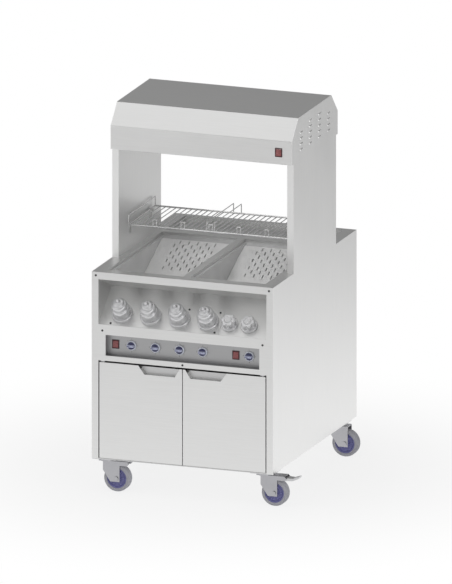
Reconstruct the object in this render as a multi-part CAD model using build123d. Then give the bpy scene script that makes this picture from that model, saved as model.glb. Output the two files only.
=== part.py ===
"""Mobile chip warmer: a heated chip dump on a castor cabinet, with a heated sauce bar and a heated hood.

Millimetres. +X is right seen from the front, the front faces -Y, +Z is up, and the origin is on the
floor under the middle of the cabinet.
"""
import os
from math import cos, radians, sin, tan

from build123d import *

# Cabinet
WIDTH = 700.0               # over the side sheets
DEPTH = 888.0               # front frame to back panel
BASE_Z = 125.0              # underside of the cabinet
BODY_HEIGHT = 700.0
SHEET = 1.5                 # stainless sheet
STILE = 26.0                # width of the front frame's uprights
FLANGE = 30.0               # upturned edges of the base tray

# Hood and its pylons
PYLON_THICK = 25.0
PYLON_DEPTH = 451.0
WINDOW_HEIGHT = 409.0       # deck to hood
HOOD_OVERHANG = 17.5        # hood beyond the pylons, front and back
HOOD_FASCIA = 88.0
HOOD_CHAMFER_RISE = 74.0
HOOD_CHAMFER_RUN = 68.0
HOOD_LIP = 20.0
LOUVRE = (30.0, 7.0, 2.6)   # length, height, stand-off
LOUVRE_SLOPE = 1.5          # run of each end over its stand-off
LOUVRE_PITCH = (96.5, 21.4)
LOUVRE_COUNTS = (4, 5, 5, 4)
LOUVRE_TOP_DROP = 38.0      # hood top to the highest row

# Infrared heating in the hood
REFLECTOR_SIDE_GAP = 35.0   # cabinet side to the reflector's side
REFLECTOR_END_GAP = 53.0    # hood front to the reflector's front
REFLECTOR_RISE = 62.0
REFLECTOR_SHEET = 1.0
ELEMENT = (245.0, 60.0, 12.0)
ELEMENT_DROP = 22.0         # reflector roof to the back of an element
ELEMENT_PITCH = (290.0, 150.0)
STEM_RADIUS = 7.0
GUARD_RAIL = 2.0
GUARD_WIRE = 1.2
GUARD_PITCH = 26.0
GUARD_OVERLAP = 8.0         # rails stand this far outside the reflector's mouth

# Deck openings
BIN_SETBACK = 45.0          # front of the cabinet to the openings
BIN_LENGTH = 583.0
DIVIDER = 26.0
SIDE_MARGIN = 46.0
LEDGE_DROP = 12.0
LEDGE = 8.0
BASIN_BRIDGE = 22.0         # deck between the openings and the rear basin
BASIN_MARGIN = 20.0
BASIN_DROP = 15.0

# Lift-out chip scuttles and their drain plates
PAN_SHEET = 1.2
PAN_GAP = 0.4
PAN_WALL_INSET = 10.0
PAN_HEEL = (99.0, 66.0)     # behind the opening's front edge, and below the ledge
PAN_FLOOR = (114.0, 285.0)  # front and rear ends, behind the opening's front edge
PAN_DEPTH = 128.0
DRAIN_RISE = 7.0
DRAIN_MARGIN = 6.0
SLOT = (18.0, 4.0)
SLOT_PITCH = (33.5, 20.0)
SLOT_ROWS = 8
SLOT_MARGIN = 4.5           # plate's rear edge to the upper row
BIN_HEATER = (200.0, 150.0, 6.0)
HEATER_LEG = 5.0

# Sauce bar: a tilted panel in a wedge-shaped recess
RECESS_TOP = 27.0           # deck to the opening's upper edge
RECESS_HEIGHT = 168.0
PANEL_TILT = 42.0
PANEL_FOOT = 206.5          # deck down to the panel's lower edge
PANEL_RUN = 136.5           # how far back the recess reaches
HEAD_INSET = 102.5          # cabinet side to the first pump head
HEAD_TO_CAP = 82.6          # last pump head to the first star cap
HEAD_COUNT = 4
CAP_INSET = 109.0           # cabinet side to the last star cap
CAP_PITCH = 75.0
HEAD_UP_SLOPE = 62.5
CARRIER_MARGIN = 50.0       # end heads to the carrier plate's ends
CARRIER_SPAN = (12.0, 115.0)    # lower and upper edges up the slope
CARRIER_SHEET = 2.0
HOLE_GAP = 1.0
COLLAR_RADIUS = 39.5
COLLAR_HEIGHT = 11.5
HEAD_TIERS = ((33.5, 49.0), (29.0, 72.0), (20.0, 82.0), (6.0, 94.5))    # radius, height above the panel
HEAD_NECK = (2.0, 2.5)      # groove under each upper tier: depth, height
HEAD_FOOT = (1.0, 2.5)      # a tier's lower edge: cut in from its side, and height of the cut
HEAD_SHOULDER = ((0.0, 4.5), (1.2, 2.0), (3.5, 0.0))    # its upper edge: cut in, and below its top
HEAD_SKIRT = 8.0
HEAD_WALL = 3.0
HEAD_STROKE = 20.0
SLIDE_GAP = 0.3
JAR_RADIUS = 40.0
JAR_LENGTH = 140.0
JAR_WALL = 2.0
POT_RADIUS = 31.0
POT_LENGTH = 110.0
CAP_RADIUS = 31.5
CAP_BASE = 8.0
CAP_HEIGHT = 34.0
CAP_LOBES = 6
CAP_LOBE_RADIUS = 8.0

# Control panel
CONTROL_SIDE_GAP = 53.5     # cabinet side to the opening
CONTROL_HEIGHT = 78.0
CONTROL_SETBACK = 28.5
CONTROL_DROP = 272.0        # deck to the middle of the panel
LEFT_ROCKER_INSET = 82.5    # insets are measured from the nearer cabinet side
LEFT_KNOB_INSETS = (143.5, 235.7, 329.0, 418.1)
RIGHT_ROCKER_INSET = 153.8
RIGHT_KNOB_INSET = 101.7
HOOD_ROCKER_INSET = 51.7
HOOD_ROCKER_RISE = 45.0     # above the hood's lower edge
KNOB_RADIUS = 18.5
KNOB_SKIRT = 4.0
KNOB_DISC = (14.5, 8.0)     # radius, height above the panel
KNOB_BAR = 9.0              # width of the grip across the disc
KNOB_HEIGHT = 19.0
SHAFT_RADIUS = 3.0
RUNNING_GAP = 0.05
THERMOSTAT = (36.0, 36.0, 34.0)
ROCKER = (20.0, 24.0)
SWITCH_FRAME = (27.0, 33.0, 2.5)
SWITCH_DEPTH = 22.0

# Doors
DOOR_DROP = 334.5           # deck to the doors' top edge
DOOR_LIFT = 4.0             # cabinet underside to the doors' lower edge
DOOR_THICK = 20.0
DOOR_SIDE_GAP = 2.0
DOOR_CENTRE_GAP = 2.5
DOOR_SKIN = 1.2
PULL_TOP = (11.0, 170.0)
PULL_BOTTOM = (30.0, 147.0)
PULL_HEIGHT = 32.0
PULL_DEPTH = 17.0
PIN_INSET = (14.0, 6.0)     # from the door's hinge edge, and from its face
PIN_RADIUS = 3.0
PIN_LENGTH = 22.0
BOSS_RADIUS = 5.5
LINTEL_GAP = 4.0            # doors to the frame above them
PIVOT_GAP = 0.5             # door to the pivot plates and the tray's front lip

# Wire rack
RACK_HEIGHT = 105.0         # above the deck
RACK_DEPTH = 284.0
RACK_END_GAP = 5.0
RACK_FRAME = 3.0
RACK_WIRE = 1.8
RACK_PITCH = 20.0
GUARD_RISE = 35.0
GUARD_X = 15.0
LOOP = (14.0, 26.0)         # width, height
LOOP_PITCH = 108.0
HOOK_PLATE = (3.0, 16.0, 34.0)
HOOK_RADIUS = 4.0

# Castors
CASTOR_SIDE_INSET = 46.0
CASTOR_FRONT_INSET = 44.0
CASTOR_REAR_INSET = 94.0
CASTOR_TRAIL = 40.5
WHEEL_RADIUS = 50.0
WHEEL_WIDTH = 35.0
TYRE_DEPTH = 13.0
WHEEL_GAP = 2.0
FORK_SHEET = 3.0
FORK_BAND = (51.0, 49.0, 16.0)     # reach ahead of and behind the axle, and depth
FORK_LEG = (23.0, 13.0, 12.0)      # foot ahead of and behind the axle, and below it
FORK_HEEL = 80.0                   # height where a leg starts to narrow
FORK_BRIDGE_Z = 112.0
AXLE_RADIUS = 5.0
TOP_PLATE = (90.0, 80.0, 3.0)
RACE_RADIUS = 28.0
KINGPIN_RADIUS = 6.0
PEDAL_PIVOT = (62.0, 104.0)     # ahead of the swivel, and above the floor
PEDAL_REACH = 134.0
PEDAL_WIDTH = 34.0
PEDAL_THICK = 6.0
PEDAL_LIFT = 14.0
PEDAL_TRAVEL = 14.0

# Back, electrics and fasteners
SHELF_RISE = 17.5           # doors' top edge to the electrics shelf
GLAND_INSET = 100.0
GLAND_RISE = 175.0
GLAND_REACH = 20.0
GLAND_RADIUS = 12.0
CABLE_RADIUS = 4.5
SCREW_RADIUS = 4.0
SCREW_HEAD = 2.0
FRAME_SCREW = (16.0, 13.0)      # in from the cabinet's side, and below the deck
STILE_SCREW = (15.0, 4.0)       # out into the opening, and below the middle of the rail
LINTEL_SCREW = 13.5             # above the doors
PLATE_SCREW = (15.0, 8.0)       # in from the carrier plate's ends and edges
LOCK_SCREW = (30.0, 6.0)        # left of the middle of the last two heads, and below the edge
BACK_SCREW = (14.0, 40.0)       # in from the side sheets, and from the cabinet's ends

FRONT = -DEPTH / 2
REAR = DEPTH / 2
INSIDE = WIDTH / 2 - SHEET
BODY_TOP = BASE_Z + BODY_HEIGHT
HOOD_BOTTOM = BODY_TOP + WINDOW_HEIGHT
HOOD_SHOULDER = HOOD_BOTTOM + HOOD_FASCIA
HOOD_TOP = HOOD_SHOULDER + HOOD_CHAMFER_RISE
OPENING = WIDTH / 2 - STILE
HOOD_DEPTH = PYLON_DEPTH + 2 * HOOD_OVERHANG
REFLECTOR_LENGTH = WIDTH - 2 * REFLECTOR_SIDE_GAP
REFLECTOR_DEPTH = HOOD_DEPTH - 2 * REFLECTOR_END_GAP
BIN_FRONT = FRONT + BIN_SETBACK
BIN_REAR = BIN_FRONT + BIN_LENGTH
BASIN_FRONT = BIN_REAR + BASIN_BRIDGE
BASIN_REAR = REAR - BASIN_MARGIN
HEAD_PITCH = (WIDTH - HEAD_INSET - HEAD_TO_CAP - CAP_PITCH - CAP_INSET) / (HEAD_COUNT - 1)
HEAD_X = [HEAD_INSET - WIDTH / 2 + place * HEAD_PITCH for place in range(HEAD_COUNT)]
CAP_X = (WIDTH / 2 - CAP_INSET - CAP_PITCH, WIDTH / 2 - CAP_INSET)
CONTROL_Z = BODY_TOP - CONTROL_DROP
KNOB_X = [inset - WIDTH / 2 for inset in LEFT_KNOB_INSETS] + [WIDTH / 2 - RIGHT_KNOB_INSET]
ROCKER_X = (LEFT_ROCKER_INSET - WIDTH / 2, WIDTH / 2 - RIGHT_ROCKER_INSET)
DOOR_TOP = BODY_TOP - DOOR_DROP
DOOR_BOTTOM = BASE_Z + DOOR_LIFT
SHELF_Z = DOOR_TOP + SHELF_RISE
CASTOR_X = WIDTH / 2 - CASTOR_SIDE_INSET
GLAND_X = WIDTH / 2 - GLAND_INSET
GLAND_Z = BASE_Z + GLAND_RISE
LEDGE_Z = BODY_TOP - LEDGE_DROP
PYLON_INNER = WIDTH / 2 - PYLON_THICK
CONTROL_Y = FRONT + CONTROL_SETBACK
RACK_Z = BODY_TOP + RACK_HEIGHT
RECESS_Z = BODY_TOP - RECESS_TOP
DOOR_EDGE = OPENING - DOOR_SIDE_GAP
PIN_X = DOOR_EDGE - PIN_INSET[0]
PIN_Y = FRONT + PIN_INSET[1]
SAUCE = Plane(
    origin=(0, FRONT + SHEET, BODY_TOP - PANEL_FOOT),
    x_dir=(1, 0, 0),
    z_dir=(0, -sin(radians(PANEL_TILT)), cos(radians(PANEL_TILT))),
)


def block(x0, x1, y0, y1, z0, z1):
    """A box between two corners."""
    return Pos((x0 + x1) / 2, (y0 + y1) / 2, (z0 + z1) / 2) * Box(abs(x1 - x0), abs(y1 - y0), abs(z1 - z0))


def profile(points, x=0.0):
    """A face in the YZ plane at x, from (y, z) corners."""
    return make_face(Polyline(*[(x, y, z) for y, z in points], close=True))


def prism(points, x0, x1):
    """An outline in YZ carried along X."""
    return extrude(profile(points, x0), amount=x1 - x0, dir=(1, 0, 0))


def rod(start, end, radius):
    """A round bar between two points."""
    axis = Vector(*end) - Vector(*start)
    return Plane(origin=start, z_dir=tuple(axis)) * extrude(Circle(radius), axis.length)


def turned(outline):
    """A solid of revolution about Z, from (radius, height) corners."""
    return revolve(make_face(Polyline(*[(r, 0, z) for r, z in outline], close=True)), Axis.Z)


def save(shape, node):
    """Write one sub-part to its STEP file."""
    export_step(shape, f"parts/{node}.step")


# Sheet-metal cabinet

def base_tray():
    floor = block(-INSIDE, INSIDE, FRONT + SHEET, REAR - SHEET, BASE_Z, BASE_Z + SHEET)
    floor += block(-OPENING, OPENING, FRONT, FRONT + SHEET, BASE_Z, DOOR_BOTTOM - PIVOT_GAP)
    top = BASE_Z + FLANGE
    for side in (-1, 1):
        floor += block(side * INSIDE, side * (INSIDE - SHEET), FRONT + 2 * STILE, REAR - SHEET, BASE_Z, top)
    floor += block(-INSIDE, INSIDE, REAR - 2 * SHEET, REAR - SHEET, BASE_Z, top)
    return floor


def side_outline():
    """Cabinet side, pylon and hood end, cut from one sheet."""
    half = [
        (REAR, BASE_Z),
        (REAR, BODY_TOP),
        (PYLON_DEPTH / 2, BODY_TOP),
        (PYLON_DEPTH / 2, HOOD_BOTTOM),
        (HOOD_DEPTH / 2, HOOD_BOTTOM),
        (HOOD_DEPTH / 2, HOOD_SHOULDER),
        (HOOD_DEPTH / 2 - HOOD_CHAMFER_RUN, HOOD_TOP),
    ]
    return half + [(-y, z) for y, z in reversed(half)]


def louvre_places():
    """Centres (y, z) of the hood's vents: four columns, the outer ones a row shorter."""
    for column, count in enumerate(LOUVRE_COUNTS):
        y = (column - (len(LOUVRE_COUNTS) - 1) / 2) * LOUVRE_PITCH[0]
        short = max(LOUVRE_COUNTS) - count
        for row in range(short, max(LOUVRE_COUNTS)):
            yield y, HOOD_TOP - LOUVRE_TOP_DROP - row * LOUVRE_PITCH[1]


def louvre(wall=0.0):
    """Pressed vent hood in the side sheet: a wedge with sloped ends, less the wall all round when cut out."""
    length, height, stand = LOUVRE
    root, low = WIDTH / 2 - SHEET / 2, -height / 2
    section = [(root, height / 2 - 1.2 * wall), (WIDTH / 2 + stand - wall, -0.3 * wall),
               (WIDTH / 2 + stand - wall, low - wall), (root, low - wall)]
    end = make_face(Polyline(*[(x, -length / 2, z) for x, z in section], close=True))
    hood = extrude(end, amount=length, dir=(0, 1, 0))
    near, far = length / 2 - wall, length / 2 - wall - LOUVRE_SLOPE * stand
    ends = [(root, -near), (WIDTH / 2 + stand, -far), (WIDTH / 2 + stand, far), (root, near)]
    return hood & extrude(
        make_face(Polyline(*[(x, y, low - 2 * SHEET) for x, y in ends], close=True)),
        amount=height + 4 * SHEET,
        dir=(0, 0, 1),
    )


def side_panel(side):
    panel = prism(side_outline(), INSIDE, WIDTH / 2)
    length, height, _ = LOUVRE
    wall = 0.6 * SHEET
    reach = length / 2 - 2 * wall
    mouth = block(INSIDE - 1, WIDTH / 2, -reach, reach, -height / 2, SHEET / 2)
    blade, hollow = louvre(), louvre(wall) + mouth
    places = [Pos(0, y, z) for y, z in louvre_places()]
    panel += [place * blade for place in places]
    panel -= [place * hollow for place in places]
    return panel if side > 0 else mirror(panel, about=Plane.YZ)


def pylon_liners():
    """Channels that close each pylon's inner side."""
    outer = block(PYLON_INNER, INSIDE, -PYLON_DEPTH / 2, PYLON_DEPTH / 2, BODY_TOP, HOOD_BOTTOM)
    reach = PYLON_DEPTH / 2 - SHEET
    liner = outer - block(PYLON_INNER + SHEET, INSIDE + 1, -reach, reach, BODY_TOP - 1, HOOD_BOTTOM + 1)
    return Compound(children=[liner, mirror(liner, about=Plane.YZ)])


def back_panel():
    panel = block(-INSIDE, INSIDE, REAR - SHEET, REAR, BASE_Z + SHEET, BODY_TOP - SHEET)
    hole = rod((GLAND_X, REAR - 2 * SHEET, GLAND_Z), (GLAND_X, REAR + SHEET, GLAND_Z), GLAND_RADIUS - 4)
    return panel - hole


def front_frame():
    back = FRONT + SHEET
    frame = block(-INSIDE, INSIDE, FRONT, back, BASE_Z, BODY_TOP)
    frame -= block(-OPENING, OPENING, FRONT - 1, back + 1, RECESS_Z - RECESS_HEIGHT, RECESS_Z)
    half = WIDTH / 2 - CONTROL_SIDE_GAP
    low = CONTROL_Z - CONTROL_HEIGHT / 2
    frame -= block(-half, half, FRONT - 1, back + 1, low, low + CONTROL_HEIGHT)
    lintel = DOOR_TOP + LINTEL_GAP
    frame -= block(-OPENING, OPENING, FRONT - 1, back + 1, BASE_Z - 1, lintel)
    depth = FRONT + DOOR_THICK + PIN_INSET[1]
    frame += block(-OPENING, OPENING, FRONT, depth, lintel, lintel + SHEET)
    for side in (-1, 1):
        post = side * (OPENING + 0.5)
        frame += block(post, post + side * SHEET, FRONT, depth, BASE_Z + SHEET, SHELF_Z)
    return frame


def bin_opening(side, grow=0.0):
    """Plan limits (x0, x1, y0, y1) of one deck opening, narrowed by grow."""
    inner = DIVIDER / 2 + grow
    outer = WIDTH / 2 - SIDE_MARGIN - grow
    return side * inner, side * outer, BIN_FRONT + grow, BIN_REAR - grow


def deck_top():
    deck = block(-INSIDE, INSIDE, FRONT + SHEET, REAR, BODY_TOP - SHEET, BODY_TOP)
    for side in (-1, 1):
        deck += block(*bin_opening(side, -SHEET), LEDGE_Z - SHEET, BODY_TOP)
        deck -= block(*bin_opening(side), LEDGE_Z, BODY_TOP + 1)
        deck -= block(*bin_opening(side, LEDGE), LEDGE_Z - 2 * SHEET, LEDGE_Z + 1)
    edge = WIDTH / 2 - SIDE_MARGIN
    floor = BODY_TOP - BASIN_DROP - SHEET
    pan = block(-edge - SHEET, edge + SHEET, BASIN_FRONT - SHEET, BASIN_REAR + SHEET, floor, BODY_TOP)
    pan -= block(-edge, edge, BASIN_FRONT, BASIN_REAR, BODY_TOP - BASIN_DROP, BODY_TOP + 1)
    hole = block(-edge, edge, BASIN_FRONT, BASIN_REAR, BODY_TOP - BASIN_DROP, BODY_TOP + 1)
    return deck - hole + pan


# Chip scuttles

def pan_outline():
    """Side view of a scuttle: sloping front, flat floor and the long ramp at the rear."""
    ledge_front = BIN_FRONT + PAN_WALL_INSET
    ledge_rear = BIN_REAR - PAN_WALL_INSET
    floor = LEDGE_Z - PAN_DEPTH
    return [
        (ledge_front, LEDGE_Z),
        (BIN_FRONT + PAN_HEEL[0], LEDGE_Z - PAN_HEEL[1]),
        (BIN_FRONT + PAN_FLOOR[0], floor),
        (BIN_FRONT + PAN_FLOOR[1], floor),
        (ledge_rear, LEDGE_Z),
    ]


def pan_sides(side):
    """Outer faces (low x, high x) of one scuttle's side walls."""
    near = DIVIDER / 2 + PAN_WALL_INSET
    far = WIDTH / 2 - SIDE_MARGIN - PAN_WALL_INSET
    return (near, far) if side > 0 else (-far, -near)


def scuttle(side):
    x0, x1 = pan_sides(side)
    outline = pan_outline()
    pan = prism(outline, x0, x1)
    rim = block(*bin_opening(side, PAN_GAP), LEDGE_Z, LEDGE_Z + PAN_SHEET)
    top = LEDGE_Z + 2 * PAN_SHEET
    lifted = [(outline[0][0], top), *outline, (outline[-1][0], top)]
    inner = offset(profile(lifted, x0 + PAN_SHEET), -PAN_SHEET, kind=Kind.INTERSECTION)
    hollow = extrude(inner, amount=x1 - x0 - 2 * PAN_SHEET, dir=(1, 0, 0))
    return pan + rim - hollow


def drain_plate(side):
    """Slotted false floor: it stands on its turned-down side edges."""
    low, high = pan_sides(side)
    x0 = low + PAN_SHEET + PAN_GAP
    x1 = high - PAN_SHEET - PAN_GAP
    bed = LEDGE_Z - PAN_DEPTH + PAN_SHEET
    start = BIN_FRONT + PAN_FLOOR[0] + DRAIN_MARGIN
    bend = BIN_FRONT + PAN_FLOOR[1]
    slope = PAN_DEPTH / (BIN_REAR - PAN_WALL_INSET - bend)
    end = BIN_REAR - PAN_WALL_INSET - 2 * DRAIN_MARGIN - 2 * DRAIN_RISE
    climb = slope * (end - bend)
    top = bed + DRAIN_RISE
    upper = [(start, top), (bend, top), (end, top + climb)]
    lower = [(y, z - PAN_SHEET) for y, z in reversed(upper)]
    plate = prism(upper + lower, x0, x1)
    foot = [(start, bed), (bend, bed), (end, bed + climb)]
    skirt = upper + [(y, z + 0.3 if y > start else z) for y, z in reversed(foot)]
    plate += prism(skirt, x0, x0 + PAN_SHEET) + prism(skirt, x1 - PAN_SHEET, x1)
    return plate - drain_slots((x0 + x1) / 2, x1 - x0, bend, top, slope, end - bend)


def drain_slots(middle, width, bend, top, slope, run):
    """Staggered rows of slots from the ramp's upper end down, each slot lying along the ramp."""
    columns = int((width - 2 * SLOT_PITCH[0]) / SLOT_PITCH[0])
    cutter = Box(SLOT[1], SLOT[0], 12 * PAN_SHEET)
    slots = []
    for row in range(SLOT_ROWS):
        y = bend + run - SLOT_MARGIN - SLOT[0] / 2 - SLOT_PITCH[1] * row
        shift = SLOT_PITCH[0] * (-0.25 if row % 2 else 0.25)
        for column in range(columns):
            x = middle + shift + (column - (columns - 1) / 2) * SLOT_PITCH[0]
            slots.append(Pos(x, y, top + slope * (y - bend)) * cutter)
    return slots


def bin_heaters():
    """Heating mats pressed against the scuttle floors, each on four legs from the electrics shelf."""
    mats = []
    length, depth, thick = BIN_HEATER
    top = LEDGE_Z - PAN_DEPTH
    middle_y = BIN_FRONT + sum(PAN_FLOOR) / 2
    for side in (-1, 1):
        middle_x = sum(pan_sides(side)) / 2
        mat = Pos(middle_x, middle_y, top - thick / 2) * Box(length, depth, thick)
        for dx in (-1, 1):
            for dy in (-1, 1):
                x = middle_x + dx * (length / 2 - 2 * HEATER_LEG)
                y = middle_y + dy * (depth / 2 - 2 * HEATER_LEG)
                mat += rod((x, y, SHELF_Z + SHEET), (x, y, top - thick), HEATER_LEG)
        mats.append(mat)
    return Compound(children=mats)


# Sauce bar

def recess_outline():
    """Wedge seen from the side: panel foot, apex, and the underside of the deck rail."""
    foot = BODY_TOP - PANEL_FOOT
    front = FRONT + SHEET
    apex = (front + PANEL_RUN, foot + PANEL_RUN * tan(radians(PANEL_TILT)))
    return [(front, foot), apex, (front, RECESS_Z)]


def sauce_holes(xs, radius):
    return [SAUCE * Pos(x, HEAD_UP_SLOPE, 0) * Cylinder(radius, 20 * SHEET) for x in xs]


def dispenser_panel():
    wedge = recess_outline()
    shell = extrude(
        offset(profile(wedge, -OPENING - SHEET), SHEET, kind=Kind.INTERSECTION),
        amount=2 * (OPENING + SHEET),
        dir=(1, 0, 0),
    )
    (y0, z0), apex, (_, z1) = wedge
    clear = y0 - PANEL_RUN
    ahead = [(clear, z0), (y0, z0), apex, (y0, z1), (clear, z1)]
    shell -= prism(ahead, -OPENING, OPENING)
    shell -= block(-WIDTH, WIDTH, clear, y0, z0 - PANEL_RUN, z1 + PANEL_RUN)
    shell -= sauce_holes(HEAD_X, HEAD_TIERS[0][0] + HOLE_GAP)
    shell -= sauce_holes(CAP_X, POT_RADIUS - 5)
    return shell


def dispenser_plate():
    left, right = HEAD_X[0] - CARRIER_MARGIN, HEAD_X[-1] + CARRIER_MARGIN
    plate = SAUCE * block(left, right, *CARRIER_SPAN, 0, CARRIER_SHEET)
    return plate - sauce_holes(HEAD_X, HEAD_TIERS[0][0] + HOLE_GAP)


def pump_collars():
    """Fixed guide rings around the push heads."""
    bore = HEAD_TIERS[0][0] + SLIDE_GAP
    base = CARRIER_SHEET
    ring = turned([(bore, base), (COLLAR_RADIUS, base), (COLLAR_RADIUS, base + COLLAR_HEIGHT - 2),
                   (COLLAR_RADIUS - 2, base + COLLAR_HEIGHT), (bore, base + COLLAR_HEIGHT)])
    return Compound(children=[SAUCE * Pos(x, HEAD_UP_SLOPE, 0) * ring for x in HEAD_X])


def head_shell():
    """Stepped push head, hollow underneath, with its plunger stem."""
    outer = []
    floor = -HEAD_SKIRT
    depth, rise = HEAD_NECK
    for radius, height in HEAD_TIERS:
        if outer:
            cut, lift = HEAD_FOOT
            outer += [(radius - depth, floor), (radius - depth, floor + rise)]
            outer += [(radius - cut, floor + rise), (radius, floor + rise + lift)]
        else:
            outer.append((radius, floor))
        outer += [(radius - cut, height - drop) for cut, drop in HEAD_SHOULDER]
        floor = height
    inner = []
    for (radius, height), (above, _) in zip(HEAD_TIERS[:2], HEAD_TIERS[1:3]):
        inner += [(radius - HEAD_WALL - 1, height - HEAD_WALL), (above - HEAD_WALL - 1, height - HEAD_WALL)]
    inner = [(HEAD_TIERS[0][0] - HEAD_WALL, -HEAD_SKIRT), *inner]
    roof = HEAD_TIERS[2][1] - HEAD_WALL
    top = HEAD_TIERS[-1][1]
    outline = [*outer, (0, top), (0, roof), (inner[-1][0] - 1, roof), *reversed(inner)]
    stem = Pos(0, 0, roof / 2 - HEAD_SKIRT) * Cylinder(4, roof + 2 * HEAD_SKIRT)
    return turned(outline) + stem


def star_cap():
    """Screw cap with a lobed grip."""
    grip = Circle(CAP_RADIUS - CAP_LOBE_RADIUS - 4)
    grip += PolarLocations(CAP_RADIUS - CAP_LOBE_RADIUS - 1, CAP_LOBES) * Circle(CAP_LOBE_RADIUS)
    cap = Pos(0, 0, CAP_BASE) * extrude(grip, CAP_HEIGHT - CAP_BASE)
    cap = fillet(cap.faces().sort_by(Axis.Z)[-1].edges(), 2)
    rim = [(CAP_RADIUS, 0), (CAP_RADIUS, CAP_BASE - 2), (CAP_RADIUS - 2, CAP_BASE)]
    skirt = turned([(0, 0), *rim, (0, CAP_BASE)])
    return cap + skirt


def cup(radius, length):
    """Jar hanging mouth up under the panel."""
    jar = Pos(0, 0, -SHEET - length / 2) * Cylinder(radius, length)
    bore = length - JAR_WALL
    return jar - Pos(0, 0, -SHEET - bore / 2) * Cylinder(radius - JAR_WALL, bore)


def sauce_jars():
    """Four heated jars for the pumps and two plain pots for the capped wells."""
    jars = [SAUCE * Pos(x, HEAD_UP_SLOPE, 0) * cup(JAR_RADIUS, JAR_LENGTH) for x in HEAD_X]
    jars += [SAUCE * Pos(x, HEAD_UP_SLOPE, 0) * cup(POT_RADIUS, POT_LENGTH) for x in CAP_X]
    return Compound(children=jars)


# Controls

def control_panel():
    height = CONTROL_HEIGHT
    low = CONTROL_Z - height / 2
    x = WIDTH / 2 - CONTROL_SIDE_GAP
    tray = block(-x - SHEET, x + SHEET, FRONT + SHEET, CONTROL_Y + SHEET, low - SHEET, low + height + SHEET)
    tray -= block(-x, x, FRONT, CONTROL_Y, low, low + height)
    for knob_x in KNOB_X:
        tray -= rod((knob_x, FRONT, CONTROL_Z), (knob_x, CONTROL_Y + 10, CONTROL_Z), SHAFT_RADIUS + 1)
    for rocker_x in ROCKER_X:
        tray -= Pos(rocker_x, CONTROL_Y, CONTROL_Z) * switch_housing(0.1)
    return tray


def switch_housing(grow=0.0):
    """Body of a switch behind its panel, seated at y = 0 and facing -Y."""
    width = ROCKER[0] + 3 + 2 * grow
    height = ROCKER[1] + 6 + 2 * grow
    return block(-width / 2, width / 2, 0, SWITCH_DEPTH, -height / 2, height / 2)


def switch_frame():
    width, height, proud = SWITCH_FRAME
    frame = block(-width / 2, width / 2, -proud, 0, -height / 2, height / 2) + switch_housing()
    w = ROCKER[0] / 2 + 0.3
    h = ROCKER[1] / 2 + 1.6
    return frame - block(-w, w, -proud - 1, SWITCH_DEPTH - 2, -h, h)


def switch_places():
    """Seats of the rocker switches: two on the control panel and one on the hood."""
    seats = [(x, CONTROL_Y, CONTROL_Z) for x in ROCKER_X]
    return [*seats, (WIDTH / 2 - HOOD_ROCKER_INSET, -HOOD_DEPTH / 2, HOOD_BOTTOM + HOOD_ROCKER_RISE)]


def rocker():
    """Two-faced rocker on a pivot pin, upper face pressed in."""
    half = ROCKER[1] / 2
    outline = [(-1, half), (-3.2, 0), (-5.5, -half), (3, -half), (9, -4), (9, 4), (3, half)]
    button = prism(outline, -ROCKER[0] / 2, ROCKER[0] / 2)
    return button + rod((-ROCKER[0] / 2 - 0.3, 3, 0), (ROCKER[0] / 2 + 0.3, 3, 0), 1.5)


def knob():
    """Thermostat knob: skirt, disc with a bar grip across it, and shaft, seated at y = 0 and facing -Y."""
    lift = 1.0
    disc, bar = KNOB_DISC
    skirt = [(KNOB_RADIUS, lift), (KNOB_RADIUS, KNOB_SKIRT), (disc, KNOB_SKIRT + 1)]
    outline = [(0, lift), *skirt, (disc, bar), (0, bar)]
    body = turned(outline)
    grip = Cylinder(disc - 1, KNOB_HEIGHT - bar) & Box(2 * disc, KNOB_BAR, KNOB_HEIGHT)
    body += Pos(0, 0, (KNOB_HEIGHT + bar) / 2) * grip
    body += Pos(0, 0, -5) * Cylinder(SHAFT_RADIUS, 14)
    return Rot(90, 0, 0) * body


def thermostats():
    """Thermostat bodies behind the control panel, each with the bush its shaft turns in."""
    width, height, depth = THERMOSTAT
    back = CONTROL_Y + SHEET
    bodies = []
    for x in KNOB_X:
        low, high = CONTROL_Z - height / 2, CONTROL_Z + height / 2
        body = block(x - width / 2, x + width / 2, back, back + depth, low, high)
        bore = rod((x, CONTROL_Y, CONTROL_Z), (x, back + depth - 4, CONTROL_Z), SHAFT_RADIUS + RUNNING_GAP)
        bodies.append(body - bore)
    return Compound(children=bodies)


def electrics_tray():
    """Shelf that parts the storage cabinet from the wiring above it."""
    front = FRONT + DOOR_THICK + PIN_INSET[1]
    shelf = block(-INSIDE, INSIDE, front, REAR - SHEET, SHELF_Z, SHELF_Z + SHEET)
    for side in (-1, 1):
        shelf += block(side * INSIDE, side * (INSIDE - SHEET), front, REAR - SHEET, SHELF_Z, SHELF_Z + FLANGE)
    shelf += block(-INSIDE, INSIDE, REAR - 2 * SHEET, REAR - SHEET, SHELF_Z, SHELF_Z + FLANGE)
    return shelf


# Doors

def pull_outline(side, grow=0.0):
    """Trapezium of a door's finger pull, in (x, z)."""
    (t0, t1), (b0, b1) = PULL_TOP, PULL_BOTTOM
    bottom = DOOR_TOP - PULL_HEIGHT - grow
    return [(side * (t0 - grow), DOOR_TOP + 1), (side * (t1 + grow), DOOR_TOP + 1),
            (side * (b1 + grow), bottom), (side * (b0 - grow), bottom)]


def pull_pocket(side, depth, grow=0.0):
    points = [(x, FRONT - 1, z) for x, z in pull_outline(side, grow)]
    return extrude(make_face(Polyline(*points, close=True)), amount=depth + 1, dir=(0, 1, 0))


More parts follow.
